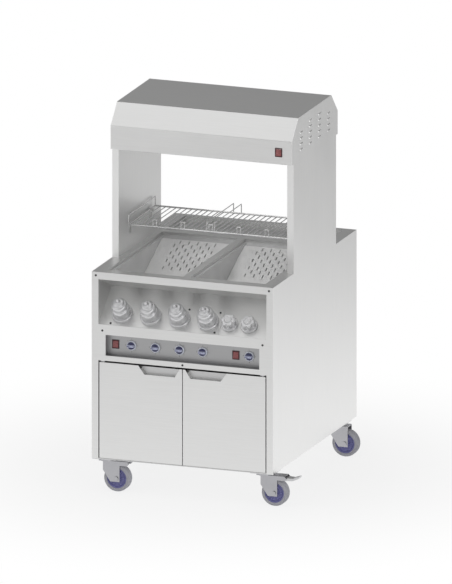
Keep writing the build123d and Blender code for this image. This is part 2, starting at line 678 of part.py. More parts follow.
def door(side):
    x0 = side * DOOR_CENTRE_GAP / 2
    x1 = side * DOOR_EDGE
    leaf = block(x0, x1, FRONT, FRONT + DOOR_THICK, DOOR_BOTTOM, DOOR_TOP)
    inset = side * DOOR_SKIN
    hollow = block(x0 + inset, x1 - inset, FRONT + DOOR_SKIN, FRONT + DOOR_THICK - DOOR_SKIN,
                   DOOR_BOTTOM + DOOR_SKIN, DOOR_TOP - DOOR_SKIN)
    hollow -= pull_pocket(side, PULL_DEPTH + DOOR_SKIN, DOOR_SKIN)
    x = side * PIN_X
    boss = PIN_LENGTH + 6
    bores = []
    for end, toward in ((DOOR_BOTTOM, 1), (DOOR_TOP, -1)):
        hollow -= rod((x, PIN_Y, end), (x, PIN_Y, end + toward * boss), BOSS_RADIUS)
        bores.append(rod((x, PIN_Y, end - toward), (x, PIN_Y, end + toward * (PIN_LENGTH + 2)),
                         PIN_RADIUS + RUNNING_GAP))
    leaf -= hollow
    leaf -= pull_pocket(side, PULL_DEPTH)
    return leaf - bores


def hinge_pins():
    """Pivot plates on the frame and base tray, with the pins the doors turn on."""
    pivots = []
    reach = BOSS_RADIUS + 3
    lintel = DOOR_TOP + LINTEL_GAP
    for side in (-1, 1):
        x = side * PIN_X
        for seat, toward, end in ((BASE_Z + SHEET, 1, DOOR_BOTTOM), (lintel, -1, DOOR_TOP)):
            inner = end - toward * PIVOT_GAP
            plate = block(x - reach, x + reach, FRONT + SHEET, PIN_Y + reach + 4, seat, inner)
            pin = rod((x, PIN_Y, seat), (x, PIN_Y, end + toward * PIN_LENGTH), PIN_RADIUS)
            pivots.append(plate + pin)
    return Compound(children=pivots)


# Hood

def hood_outline():
    half = [
        (HOOD_DEPTH / 2, HOOD_BOTTOM),
        (HOOD_DEPTH / 2, HOOD_SHOULDER),
        (HOOD_DEPTH / 2 - HOOD_CHAMFER_RUN, HOOD_TOP),
    ]
    return half + [(-y, z) for y, z in reversed(half)]


def hood_shell():
    outline = hood_outline()
    shell = prism(outline, -INSIDE, INSIDE)
    shell -= extrude(
        offset(profile(outline, -INSIDE), -SHEET, kind=Kind.INTERSECTION), amount=2 * INSIDE, dir=(1, 0, 0)
    )
    lip = HOOD_DEPTH / 2 - HOOD_LIP
    shell -= block(-INSIDE, INSIDE, -lip, lip, HOOD_BOTTOM - 1, HOOD_BOTTOM + 2 * SHEET)
    return shell - Pos(*switch_places()[-1]) * switch_housing(0.1)


def hood_reflector():
    """Inverted tray over the window, with a flange that closes the hood's underside."""
    length, depth, rise = REFLECTOR_LENGTH, REFLECTOR_DEPTH, REFLECTOR_RISE
    t = REFLECTOR_SHEET
    seat = HOOD_BOTTOM + SHEET
    edge = HOOD_DEPTH / 2 - SHEET
    tray = block(-INSIDE, INSIDE, -edge, edge, seat, seat + t)
    tray += block(-length / 2, length / 2, -depth / 2, depth / 2, seat, seat + rise)
    return tray - block(t - length / 2, length / 2 - t, t - depth / 2, depth / 2 - t, seat - 1, seat + rise - t)


def ceramic_heaters():
    """Ceramic emitters, each on a clip stem under the reflector's roof."""
    roof = HOOD_BOTTOM + SHEET + REFLECTOR_RISE - REFLECTOR_SHEET
    length, depth, thick = ELEMENT
    top = roof - ELEMENT_DROP
    section = [(-depth / 2, top - thick), (-depth / 2 + 8, top), (depth / 2 - 8, top), (depth / 2, top - thick),
               (depth / 2 - 8, top - thick + 3), (8 - depth / 2, top - thick + 3)]
    element = prism(section, -length / 2, length / 2) + rod((0, 0, top), (0, 0, roof), STEM_RADIUS)
    spots = [place.position for place in GridLocations(*ELEMENT_PITCH, 2, 2)]
    return Compound(children=[Pos(spot.X, spot.Y, 0) * element for spot in spots])


def heater_guard():
    """Wire guard under the emitters: two rails and cross wires."""
    z = HOOD_BOTTOM + SHEET - GUARD_RAIL
    y = REFLECTOR_DEPTH / 2 + GUARD_OVERLAP
    reach = REFLECTOR_LENGTH / 2
    guard = rod((-reach, -y, z), (reach, -y, z), GUARD_RAIL) + rod((-reach, y, z), (reach, y, z), GUARD_RAIL)
    count = int(2 * reach / GUARD_PITCH)
    for place in range(count):
        x = (place - (count - 1) / 2) * GUARD_PITCH
        guard += rod((x, -y, z), (x, y, z), GUARD_WIRE)
    return guard


# Wire rack

def bent_wire(points, radius):
    """Round wire through corner points, with ball corners."""
    wire = rod(points[0], points[1], radius)
    for start, end in zip(points[1:], points[2:]):
        wire += rod(start, end, radius) + Pos(*start) * Sphere(radius)
    return wire


def wire_rack():
    """Grid shelf with raised guards at its ends and middle, and small stop loops along the front."""
    x = PYLON_INNER - RACK_END_GAP - RACK_FRAME
    y = RACK_DEPTH / 2
    corners = [(-x, -y, RACK_Z), (x, -y, RACK_Z), (x, y, RACK_Z), (-x, y, RACK_Z), (-x, -y, RACK_Z)]
    rack = bent_wire(corners, RACK_FRAME) + Pos(*corners[0]) * Sphere(RACK_FRAME)
    count = int(2 * x / RACK_PITCH) - 1
    for place in range(count):
        at = (place - (count - 1) / 2) * 2 * x / (count + 1)
        rack += rod((at, -y, RACK_Z), (at, y, RACK_Z), RACK_WIRE)
    top = RACK_Z + GUARD_RISE
    for at in (-x, -GUARD_X, GUARD_X, x):
        rack += bent_wire([(at, -y, RACK_Z), (at, -y, top), (at, y, top), (at, y, RACK_Z)], RACK_WIRE)
    loops = int(2 * x / LOOP_PITCH)
    for place in range(loops):
        at = (place - (loops - 1) / 2) * LOOP_PITCH
        low, high = at - LOOP[0] / 2, at + LOOP[0] / 2
        up = RACK_Z + LOOP[1]
        rack += bent_wire([(low, -y, RACK_Z), (low, -y, up), (high, -y, up), (high, -y, RACK_Z)], RACK_WIRE)
    return rack


def rack_hooks():
    """Plates on the pylons with pegs that carry the rack's end bars."""
    thick, width, height = HOOK_PLATE
    hooks = []
    peg_z = RACK_Z - RACK_FRAME - HOOK_RADIUS
    for side in (-1, 1):
        wall = side * PYLON_INNER
        for y in (-RACK_DEPTH / 2 + 2 * width, RACK_DEPTH / 2 - 2 * width):
            foot, head = peg_z - height, peg_z + HOOK_RADIUS
            plate = block(wall, wall - side * thick, y - width / 2, y + width / 2, foot, head)
            tip = wall - side * (RACK_END_GAP + 4 * RACK_FRAME)
            hooks.append(plate + rod((wall, y, peg_z), (tip, y, peg_z), HOOK_RADIUS))
    return Compound(children=hooks)


# Castors

CASTORS = {
    "front_left": (-CASTOR_X, FRONT + CASTOR_FRONT_INSET, 0),
    "front_right": (CASTOR_X, FRONT + CASTOR_FRONT_INSET, 0),
    "rear_left": (-CASTOR_X, REAR - CASTOR_REAR_INSET, 180),
    "rear_right": (CASTOR_X, REAR - CASTOR_REAR_INSET, 0),
}
BANDED = ("front_left", "front_right", "rear_left")
BRAKED = ("front_right", "rear_left")


def castor_place(corner):
    x, y, turn = CASTORS[corner]
    return Pos(x, y, 0) * Rot(0, 0, turn)


def castor_plates():
    """Top plates bolted under the cabinet, each with its kingpin."""
    length, width, thick = TOP_PLATE
    plate = block(-length / 2, length / 2, -width / 2, width / 2, BASE_Z - thick, BASE_Z)
    head = FORK_BRIDGE_Z - 0.3
    plate += rod((0, 0, head), (0, 0, BASE_Z - thick), KINGPIN_RADIUS)
    plate += rod((0, 0, head - 5), (0, 0, head), KINGPIN_RADIUS + 4)
    return Compound(children=[castor_place(corner) * plate for corner in CASTORS])


def castor_fork(banded, braked):
    """Swivel race, bridge, two legs with or without a band behind, and the axle bolt, trailing along +X."""
    half = WHEEL_WIDTH / 2 + WHEEL_GAP
    axle, top = CASTOR_TRAIL, FORK_BRIDGE_Z + FORK_SHEET
    ahead, behind, depth = FORK_BAND
    toe, heel, drop = FORK_LEG
    foot = WHEEL_RADIUS - drop
    tail = behind - depth / 2 if banded else heel
    rear = [(axle + tail, top)]
    if banded:
        rear += [(axle + behind, top - depth / 2), (axle + tail, top - depth), (axle + heel, top - depth)]
    outline = [(axle - ahead, top), *rear, (axle + heel, foot), (axle - toe, foot), (axle - ahead, FORK_HEEL)]
    face = make_face(Polyline(*[(x, 0, z) for x, z in outline], close=True))
    leg = extrude(face, amount=FORK_SHEET, dir=(0, 1, 0))
    fork = Pos(0, half, 0) * leg + Pos(0, -half - FORK_SHEET, 0) * leg
    fork += block(-RACE_RADIUS, axle + tail, -half, half, FORK_BRIDGE_Z, top)
    race = BASE_Z - TOP_PLATE[2] - 0.3
    fork += rod((0, 0, FORK_BRIDGE_Z), (0, 0, race), RACE_RADIUS)
    fork -= rod((0, 0, FORK_BRIDGE_Z - 1), (0, 0, race + 1), KINGPIN_RADIUS + RUNNING_GAP)
    for reach, radius in ((half + FORK_SHEET, AXLE_RADIUS), (half + FORK_SHEET + 4, AXLE_RADIUS + 3)):
        for side in (-1, 1):
            start = 0 if radius == AXLE_RADIUS else half + FORK_SHEET
            fork += rod((axle, side * start, WHEEL_RADIUS), (axle, side * reach, WHEEL_RADIUS), radius)
    if braked:
        x, z = PEDAL_PIVOT
        fork += rod((x, -half, z), (x, half, z), SHAFT_RADIUS)
    return fork


def wheel_core():
    """Hub, web and rim of one wheel, with its axle bore."""
    rim = WHEEL_RADIUS - TYRE_DEPTH
    half = WHEEL_WIDTH / 2
    bore = AXLE_RADIUS + RUNNING_GAP
    outline = [(bore, -half - 1.5), (12, -half - 1.5), (14, -half + 3),
               (rim - 6, -half + 5), (rim - 3, -half + 1),
               (rim, -half + 1), (rim, half - 1), (rim - 3, half - 1), (rim - 6, half - 5), (14, half - 3),
               (12, half + 1.5), (bore, half + 1.5)]
    return Pos(CASTOR_TRAIL, 0, WHEEL_RADIUS) * Rot(90, 0, 0) * turned(outline)


def tyre():
    """Rubber tread ring bonded round the rim."""
    rim = WHEEL_RADIUS - TYRE_DEPTH
    half = WHEEL_WIDTH / 2
    outline = [(rim, -half + 1), (rim + 3, -half), (WHEEL_RADIUS - 3, -half), (WHEEL_RADIUS - 1, -half + 2),
               (WHEEL_RADIUS, -half + 5), (WHEEL_RADIUS, half - 5), (WHEEL_RADIUS - 1, half - 2),
               (WHEEL_RADIUS - 3, half), (rim + 3, half), (rim, half - 1)]
    return Pos(CASTOR_TRAIL, 0, WHEEL_RADIUS) * Rot(90, 0, 0) * turned(outline)


def brake_pedal():
    """Foot lever on a cross pin between the fork legs."""
    x, z = PEDAL_PIVOT
    rise = PEDAL_LIFT - PEDAL_THICK
    tip = PEDAL_REACH
    outline = [(x - 4, z - 5), (x + 6, z - 7), (tip - 22, z - 4),
               (tip, z + rise - 2), (tip, z + rise + PEDAL_THICK - 2),
               (tip - 24, z + 4), (x + 6, z + 6), (x - 4, z + 6)]
    face = make_face(Polyline(*[(px, -PEDAL_WIDTH / 2, pz) for px, pz in outline], close=True))
    lever = extrude(face, amount=PEDAL_WIDTH, dir=(0, 1, 0))
    return lever - rod((x, -PEDAL_WIDTH, z), (x, PEDAL_WIDTH, z), SHAFT_RADIUS + RUNNING_GAP)


# Rear inlet and screws

def cable_gland():
    """Gland for the supply cable: flange, tapered nose and locknut, bored through."""
    inner = 9.0
    outline = [(CABLE_RADIUS, -inner), (GLAND_RADIUS, -inner), (GLAND_RADIUS, -SHEET),
               (GLAND_RADIUS - 4.1, -SHEET),
               (GLAND_RADIUS - 4.1, 0), (GLAND_RADIUS, 0), (GLAND_RADIUS, GLAND_REACH - 8),
               (GLAND_RADIUS - 3, GLAND_REACH), (CABLE_RADIUS, GLAND_REACH)]
    return Pos(GLAND_X, REAR, GLAND_Z) * Rot(-90, 0, 0) * turned(outline)


def screw():
    """Button head with a hexagon socket, seated at z = 0."""
    head = turned([(0, 0), (SCREW_RADIUS, 0), (SCREW_RADIUS, SCREW_HEAD / 2), (SCREW_RADIUS - 1, SCREW_HEAD),
                   (0, SCREW_HEAD)])
    socket = extrude(RegularPolygon(SCREW_RADIUS / 2, 6), SCREW_HEAD / 2, both=True)
    return head - Pos(0, 0, SCREW_HEAD) * socket


def screws():
    face = Rot(90, 0, 0) * screw()
    places = [(side * (WIDTH / 2 - FRAME_SCREW[0]), FRONT, BODY_TOP - FRAME_SCREW[1]) for side in (-1, 1)]
    rail = (RECESS_Z - RECESS_HEIGHT + CONTROL_Z + CONTROL_HEIGHT / 2) / 2
    places += [(side * (OPENING - STILE_SCREW[0]), FRONT, rail - STILE_SCREW[1]) for side in (-1, 1)]
    places.append((0, FRONT, DOOR_TOP + LINTEL_SCREW))
    group = [Pos(*place) * face for place in places]
    edge, end = PLATE_SCREW[1], CARRIER_MARGIN - PLATE_SCREW[0]
    bottom, top = CARRIER_SPAN
    seats = [(x, up) for x in (HEAD_X[0] - end, HEAD_X[-1] + end) for up in (bottom + edge, top - edge)]
    seats.append(((HEAD_X[2] + HEAD_X[3]) / 2 - LOCK_SCREW[0], top - LOCK_SCREW[1]))
    group += [SAUCE * Pos(x, up, CARRIER_SHEET) * screw() for x, up in seats]
    back = Rot(-90, 0, 0) * screw()
    rows = 4
    for side in (-1, 1):
        for row in range(rows):
            z = BASE_Z + BACK_SCREW[1] + row * (BODY_HEIGHT - 2 * BACK_SCREW[1]) / (rows - 1)
            group.append(Pos(side * (INSIDE - BACK_SCREW[0]), REAR, z) * back)
    return Compound(children=group)


def main():
    os.makedirs("parts", exist_ok=True)
    save(base_tray(), "base_tray")
    save(pylon_liners(), "pylon_liners")
    save(back_panel(), "back_panel")
    save(front_frame(), "front_frame")
    save(deck_top(), "deck_top")
    save(dispenser_panel(), "dispenser_panel")
    save(dispenser_plate(), "dispenser_plate")
    save(pump_collars(), "pump_collars")
    save(sauce_jars(), "sauce_jars")
    save(control_panel(), "control_panel")
    save(thermostats(), "thermostats")
    save(electrics_tray(), "electrics_tray")
    save(bin_heaters(), "bin_heaters")
    save(hood_shell(), "hood_shell")
    save(hood_reflector(), "hood_reflector")
    save(ceramic_heaters(), "ceramic_heaters")
    save(heater_guard(), "heater_guard")
    save(wire_rack(), "wire_rack")
    save(rack_hooks(), "rack_hooks")
    save(hinge_pins(), "hinge_pins")
    save(castor_plates(), "castor_plates")
    save(cable_gland(), "cable_gland")
    save(screws(), "screws")
    for side, name in ((-1, "left"), (1, "right")):
        save(side_panel(side), f"side_panel_{name}")
        save(scuttle(side), f"scuttle_{name}")
        save(drain_plate(side), f"drain_plate_{name}")
        save(door(side), f"door_{name}")
    for number, x in enumerate(HEAD_X, 1):
        save(SAUCE * Pos(x, HEAD_UP_SLOPE, 0) * head_shell(), f"pump_head_{number}")
    for number, x in enumerate(CAP_X, 1):
        save(SAUCE * Pos(x, HEAD_UP_SLOPE, 0) * star_cap(), f"star_cap_{number}")
    for number, x in enumerate(KNOB_X, 1):
        save(Pos(x, CONTROL_Y, CONTROL_Z) * knob(), f"knob_{number}")
    seats = switch_places()
    save(Compound(children=[Pos(*seat) * switch_frame() for seat in seats]), "switch_frames")
    for number, seat in enumerate(seats, 1):
        save(Pos(*seat) * rocker(), f"rocker_{number}")
    for corner in CASTORS:
        place = castor_place(corner)
        save(place * castor_fork(corner in BANDED, corner in BRAKED), f"castor_fork_{corner}")
        save(place * wheel_core(), f"wheel_core_{corner}")
        save(place * tyre(), f"tyre_{corner}")
        if corner in BRAKED:
            save(place * brake_pedal(), f"brake_pedal_{corner}")


main()
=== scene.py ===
"""Chip warmer: heated hood, wire rack, chip dump, sauce bar and castor cabinet, in metres."""
from math import cos, pi, radians, sin

import bmesh
import bpy
import numpy as np
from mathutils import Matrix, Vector


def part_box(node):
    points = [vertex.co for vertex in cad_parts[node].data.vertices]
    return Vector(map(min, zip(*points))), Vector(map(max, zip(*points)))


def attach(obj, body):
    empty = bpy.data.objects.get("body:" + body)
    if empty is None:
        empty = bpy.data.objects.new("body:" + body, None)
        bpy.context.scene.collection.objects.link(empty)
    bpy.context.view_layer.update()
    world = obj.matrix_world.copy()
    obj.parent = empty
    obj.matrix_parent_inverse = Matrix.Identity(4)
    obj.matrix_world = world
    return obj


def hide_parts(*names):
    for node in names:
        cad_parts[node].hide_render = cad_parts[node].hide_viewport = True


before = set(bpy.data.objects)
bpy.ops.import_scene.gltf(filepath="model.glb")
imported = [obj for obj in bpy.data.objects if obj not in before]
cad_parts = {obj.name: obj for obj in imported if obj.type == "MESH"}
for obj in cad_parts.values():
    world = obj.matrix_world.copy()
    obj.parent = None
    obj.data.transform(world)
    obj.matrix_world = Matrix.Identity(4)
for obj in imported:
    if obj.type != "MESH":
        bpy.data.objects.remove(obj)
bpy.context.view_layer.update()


# Studio. A plain pale floor and backdrop under broad soft lamps, with the glow of the hood's own
# heaters, and a parallel camera that looks down a little from the right of the front.
CAMERA_AZIMUTH = radians(19.93)
CAMERA_ELEVATION = radians(14.73)
CAMERA_DISTANCE = 6.0
VIEW_CENTRE = (0.0072, 0.0, 0.670)
VIEW_HEIGHT = 2.118
PALE = (0.93, 0.93, 0.93, 1.0)
MATT = 0.9
HORIZON = (0.02, 0.30)      # sines of the elevations where the backdrop starts and ends its fall
CEILING = 0.2               # how bright it is overhead
FLOOR_REACH = 12.0
FLOOR_SEEN = (0.2, 1.6, 0.8, 1.0)           # from this distance to that, the white share by eye
FLOOR_MIRRORED = (0.9, 5.2, 0.97, 0.33)     # the same for reflections, brightest round the part
LAMP_AIM = (0.0, 0.0, 0.6)
LAMPS = {       # place, size, power and spread
    "front_left": ((-2.6, -3.6, 1.9), 3.2, 15.0, pi),
    "front_right": ((3.4, -2.2, 1.0), 3.0, 32.0, pi),
    "overhead": ((-0.8, -0.9, 4.0), 3.8, 36.0, pi),
    "heaters": ((0.0, 0.0, 1.226), 0.42, 0.34, radians(100.0)),
}

scene = bpy.context.scene
scene.view_settings.view_transform = "Standard"


def feed(tree, socket, value):
    """Link a socket to another one, or give it a plain value."""
    if isinstance(value, bpy.types.NodeSocket):
        tree.links.new(value, socket)
    else:
        socket.default_value = value


def math_node(tree, operation, first, second):
    """The result of one Math node on two sockets or numbers."""
    node = tree.nodes.new("ShaderNodeMath")
    node.operation = operation
    feed(tree, node.inputs[0], first)
    feed(tree, node.inputs[1], second)
    return node.outputs[0]


def map_range(tree, source, span, kind="LINEAR"):
    """A value that runs over the span's last two numbers as the source runs over its first two."""
    node = tree.nodes.new("ShaderNodeMapRange")
    node.interpolation_type = kind
    for label, value in zip(("From Min", "From Max", "To Min", "To Max"), span):
        feed(tree, node.inputs[label], value)
    tree.links.new(source, node.inputs["Value"])
    return node.outputs[0]


def add_camera():
    """A parallel camera at a distance from the view's centre."""
    data = bpy.data.cameras.new("camera")
    data.type = "ORTHO"
    data.ortho_scale = VIEW_HEIGHT
    camera = bpy.data.objects.new("camera", data)
    scene.collection.objects.link(camera)
    flat = cos(CAMERA_ELEVATION)
    back = (sin(CAMERA_AZIMUTH) * flat, -cos(CAMERA_AZIMUTH) * flat, sin(CAMERA_ELEVATION))
    camera.location = np.array(VIEW_CENTRE) + CAMERA_DISTANCE * np.array(back)
    camera.rotation_euler = (pi / 2 - CAMERA_ELEVATION, 0.0, CAMERA_AZIMUTH)
    scene.camera = camera


def add_lamp(name, place, size, power, spread):
    """A square soft lamp turned towards the middle of the part."""
    data = bpy.data.lights.new(name, "AREA")
    data.size = size
    data.energy = power
    data.spread = spread
    lamp = bpy.data.objects.new(name, data)
    scene.collection.objects.link(lamp)
    lamp.location = place
    aim = np.array(LAMP_AIM) - np.array(place)
    lamp.rotation_mode = "QUATERNION"
    lamp.rotation_quaternion = Vector(aim).to_track_quat("-Z", "Y")


def add_world():
    """White to the eye; for other rays white at the horizon, falling to a dim ceiling overhead."""
    world = bpy.data.worlds.new("studio")
    scene.world = world
    world.use_nodes = True
    tree = world.node_tree
    tree.nodes.clear()
    direction = tree.nodes.new("ShaderNodeTexCoord")
    parts = tree.nodes.new("ShaderNodeSeparateXYZ")
    path = tree.nodes.new("ShaderNodeLightPath")
    sky = tree.nodes.new("ShaderNodeBackground")
    sky.inputs["Color"].default_value = (1.0, 1.0, 1.0, 1.0)
    output = tree.nodes.new("ShaderNodeOutputWorld")
    tree.links.new(direction.outputs["Generated"], parts.inputs[0])
    height = map_range(tree, parts.outputs["Z"], (*HORIZON, 1.0, CEILING))
    rays = path.outputs
    seen = math_node(tree, "MAXIMUM", rays["Is Camera Ray"], rays["Is Transmission Ray"])
    tree.links.new(math_node(tree, "MAXIMUM", seen, height), sky.inputs["Strength"])
    tree.links.new(sky.outputs[0], output.inputs["Surface"])


def add_floor():
    """A pale matt floor, white to the eye and in reflections, with a soft shadow near the part."""
    mesh = bpy.data.meshes.new("floor")
    x, y = FLOOR_REACH * np.array(((-1, 1, 1, -1), (-1, -1, 1, 1)))
    mesh.from_pydata(np.stack([x, y, 0 * x], -1).tolist(), [], [(0, 1, 2, 3)])
    floor = bpy.data.objects.new("floor", mesh)
    scene.collection.objects.link(floor)
    material = bpy.data.materials.new("floor")
    material.use_nodes = True
    tree = material.node_tree
    shader = tree.nodes["Principled BSDF"]
    shader.inputs["Base Color"].default_value = PALE
    shader.inputs["Roughness"].default_value = MATT
    white = tree.nodes.new("ShaderNodeEmission")
    place = tree.nodes.new("ShaderNodeTexCoord")
    distance = tree.nodes.new("ShaderNodeVectorMath")
    distance.operation = "LENGTH"
    tree.links.new(place.outputs["Object"], distance.inputs[0])
    path = tree.nodes.new("ShaderNodeLightPath")
    shares = []
    for ray, span in (("Is Camera Ray", FLOOR_SEEN), ("Is Glossy Ray", FLOOR_MIRRORED)):
        fade = map_range(tree, distance.outputs["Value"], span, "SMOOTHSTEP")
        shares.append(math_node(tree, "MULTIPLY", fade, path.outputs[ray]))
    mixed = tree.nodes.new("ShaderNodeMixShader")
    tree.links.new(math_node(tree, "MAXIMUM", *shares), mixed.inputs["Fac"])
    tree.links.new(shader.outputs[0], mixed.inputs[1])
    tree.links.new(white.outputs[0], mixed.inputs[2])
    tree.links.new(mixed.outputs[0], tree.nodes["Material Output"].inputs["Surface"])
    mesh.materials.append(material)


add_camera()
for lamp, settings in LAMPS.items():
    add_lamp(lamp, *settings)
add_world()
add_floor()


# Cabinet sheets. Stainless sheet 1.5 mm thick, brushed on a belt: the frame, deck and hood along
# their length, the side sheets and pylons up their height. It is one steel in two tones of painted
# light: the lengthwise sheets painted darker as shade, the upright side sheets and pylons lighter.
NOISE_SPAN = (0.3, 0.7)             # where most of a noise's values lie
FINE_LINES = (900.0, 2.0)           # scale and detail of the noise
BROAD_LINES = (70.0, 4.0)
CLOUDS = (5.0, 5.0)
FINE_SHADE = (0.98, 1.02)           # how far the noise darkens and lightens the steel
BROAD_SHADE = (0.992, 1.008)
CLOUD_SHADE = (0.985, 1.015)
BROAD_GLOSS = (-0.02, 0.02)         # and how far it changes its roughness
CLOUD_GLOSS = (-0.02, 0.04)
GRAIN_RELIEF = (0.04, 0.0003)       # strength and depth
LENGTHWISE = (0.012, 1.0, 1.0)      # how the lines' noise is squeezed, so that they draw out
UPRIGHT = (1.0, 1.0, 0.012)
# lit and shaded copies of one steel: painted shade in the first tone, painted light in the upright
# one
SATIN_SHADED = (0.765, 0.765, 0.76)
SATIN_UPRIGHT_LIT = (0.86, 0.86, 0.855)
# plain steel for the inner parts, and painted shade on the doors' pull plates
PLAIN_AND_PULL_SHADE = (0.6, 0.6, 0.6)
MARKS_READ = {"Place": "Vector", "Tint": "Color", "Gloss": "Float"}     # every group of marks
MARKS_GIVEN = {"Base Color": "Color", "Roughness": "Float", "Normal": "Vector"}


def new_marks(name, extra):
    """An empty shader group for a surface's marks, the sockets it reads and those it gives."""
    tree = bpy.data.node_groups.new(name, "ShaderNodeTree")
    for way, sockets in (("INPUT", {**MARKS_READ, **extra}), ("OUTPUT", MARKS_GIVEN)):
        for label, kind in sockets.items():
            tree.interface.new_socket(label, in_out=way, socket_type="NodeSocket" + kind)
    reads, gives = tree.nodes.new("NodeGroupInput"), tree.nodes.new("NodeGroupOutput")
    return tree, reads.outputs, gives.inputs


def noise(tree, vector, scale, detail):
    """A fractal noise over a vector."""
    node = tree.nodes.new("ShaderNodeTexNoise")
    node.inputs["Scale"].default_value = scale
    node.inputs["Detail"].default_value = detail
    tree.links.new(vector, node.inputs["Vector"])
    return node.outputs["Fac"]


def ramp(tree, source, low, high):
    """A value from low to high as a noise runs over its usual span."""
    return map_range(tree, source, (*NOISE_SPAN, low, high))


def tint(tree, colour, factor):
    """The colour times a varying factor."""
    node = tree.nodes.new("ShaderNodeVectorMath")
    node.operation = "SCALE"
    feed(tree, node.inputs[0], colour)
    tree.links.new(factor, node.inputs["Scale"])
    return node.outputs[0]


def squeezed(tree, place, scale, turn=(0.0, 0.0, 0.0)):
    """Coordinates turned and scaled by a Mapping node."""
    node = tree.nodes.new("ShaderNodeMapping")
    feed(tree, node.inputs["Scale"], scale)
    node.inputs["Rotation"].default_value = turn
    tree.links.new(place, node.inputs["Vector"])
    return node.outputs[0]


def relief(tree, height, strength, depth):
    """The normal of a surface with a fine relief."""
    node = tree.nodes.new("ShaderNodeBump")
    node.inputs["Strength"].default_value = strength
    node.inputs["Distance"].default_value = depth
    tree.links.new(height, node.inputs["Height"])
    return node.outputs[0]


def brushed_grain():
    """Belt-brushed steel: fine and broad noise drawn out one way, over cloudy handling marks."""
    tree, reads, gives = new_marks("brushed_grain", {"Stretch": "Vector"})
    along = squeezed(tree, reads["Place"], reads["Stretch"])
    fine = noise(tree, along, *FINE_LINES)
    broad = noise(tree, along, *BROAD_LINES)
    clouds = noise(tree, reads["Place"], *CLOUDS)
    shade = ramp(tree, fine, *FINE_SHADE)
    shade = math_node(tree, "MULTIPLY", shade, ramp(tree, broad, *BROAD_SHADE))
    shade = math_node(tree, "MULTIPLY", shade, ramp(tree, clouds, *CLOUD_SHADE))
    tree.links.new(tint(tree, reads["Tint"], shade), gives["Base Color"])
    rough = math_node(tree, "ADD", reads["Gloss"], ramp(tree, broad, *BROAD_GLOSS))
    rough = math_node(tree, "ADD", rough, ramp(tree, clouds, *CLOUD_GLOSS))
    tree.links.new(rough, gives["Roughness"])
    tree.links.new(relief(tree, fine, *GRAIN_RELIEF), gives["Normal"])
    return tree


def new_material(name):
    """A material, its tree, its Principled shader and its Object coordinates."""
    material = bpy.data.materials.new(name)
    material.use_nodes = True
    tree = material.node_tree
    place = tree.nodes.new("ShaderNodeTexCoord").outputs["Object"]
    return material, tree, tree.nodes["Principled BSDF"], place


def marked(name, marks, colour, gloss, metal=1.0, coat=0.0, **values):
    """A material whose colour, roughness and normal come from a group of marks."""
    material, tree, shader, place = new_material(name)
    group = tree.nodes.new("ShaderNodeGroup")
    group.node_tree = marks
    tree.links.new(place, group.inputs["Place"])
    for label, value in {"Tint": (*colour, 1.0), "Gloss": gloss, **values}.items():
        group.inputs[label].default_value = value
    for label in MARKS_GIVEN:
        tree.links.new(group.outputs[label], shader.inputs[label])
    shader.inputs["Metallic"].default_value = metal
    shader.inputs["Coat Weight"].default_value = coat
    return material


def dress(material, *nodes):
    """Give CAD nodes their finish."""
    for node in nodes:
        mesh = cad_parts[node].data
        mesh.materials.clear()
        mesh.materials.append(material)


BRUSHED = brushed_grain()
# the lengthwise sheets take the tone with painted shade, the side sheets and pylons the one with
# painted light
shaded_steel_x = marked("satin_steel_lengthwise_shaded", BRUSHED, SATIN_SHADED, 0.36, Stretch=LENGTHWISE)
lit_steel_z = marked("satin_steel_upright_lit", BRUSHED, SATIN_UPRIGHT_LIT, 0.36, Stretch=UPRIGHT)
# the darker plain steel also stands as painted shade on the pull plates
inner_steel_and_pull_shade = marked("plain_steel_and_pull_shade", BRUSHED, PLAIN_AND_PULL_SHADE, 0.42, Stretch=LENGTHWISE)
dress(shaded_steel_x, "front_frame", "deck_top", "dispenser_panel", "dispenser_plate")
dress(shaded_steel_x, "hood_shell", "door_left", "door_right")
dress(lit_steel_z, "side_panel_left", "side_panel_right", "pylon_liners")
dress(inner_steel_and_pull_shade, "base_tray", "back_panel", "electrics_tray", "hood_reflector")


# Pans. The lift-out scuttles and their slotted drain plates are one bead-blasted stainless, marked
# by heat and scoops, in two tones: the scuttles painted darker as the shade under the plates and on
# their walls, the drain plates painted paler as light; the sauce jars under the panel take the
# scuttles' painted shade too.
STAINS = (9.0, 6.0)                 # scale and detail of the noise
SPECKS = (420.0, 2.0)
STAIN_SHADE = (0.9, 1.06)
STAIN_GLOSS = (-0.05, 0.07)
SPECK_GLOSS = (-0.03, 0.03)
SCRATCH_SCALE = 26.0
SCRATCH_STRETCH = (3.0, 0.35, 1.0)
SCRATCH_TURN = (0.0, 0.0, 0.2)
SCRATCH_SHINE = (0.0, 0.012, 1.08, 1.0)     # from a scratch to its edge, how much lighter it is
BLAST_RELIEF = (0.2, 0.0003)


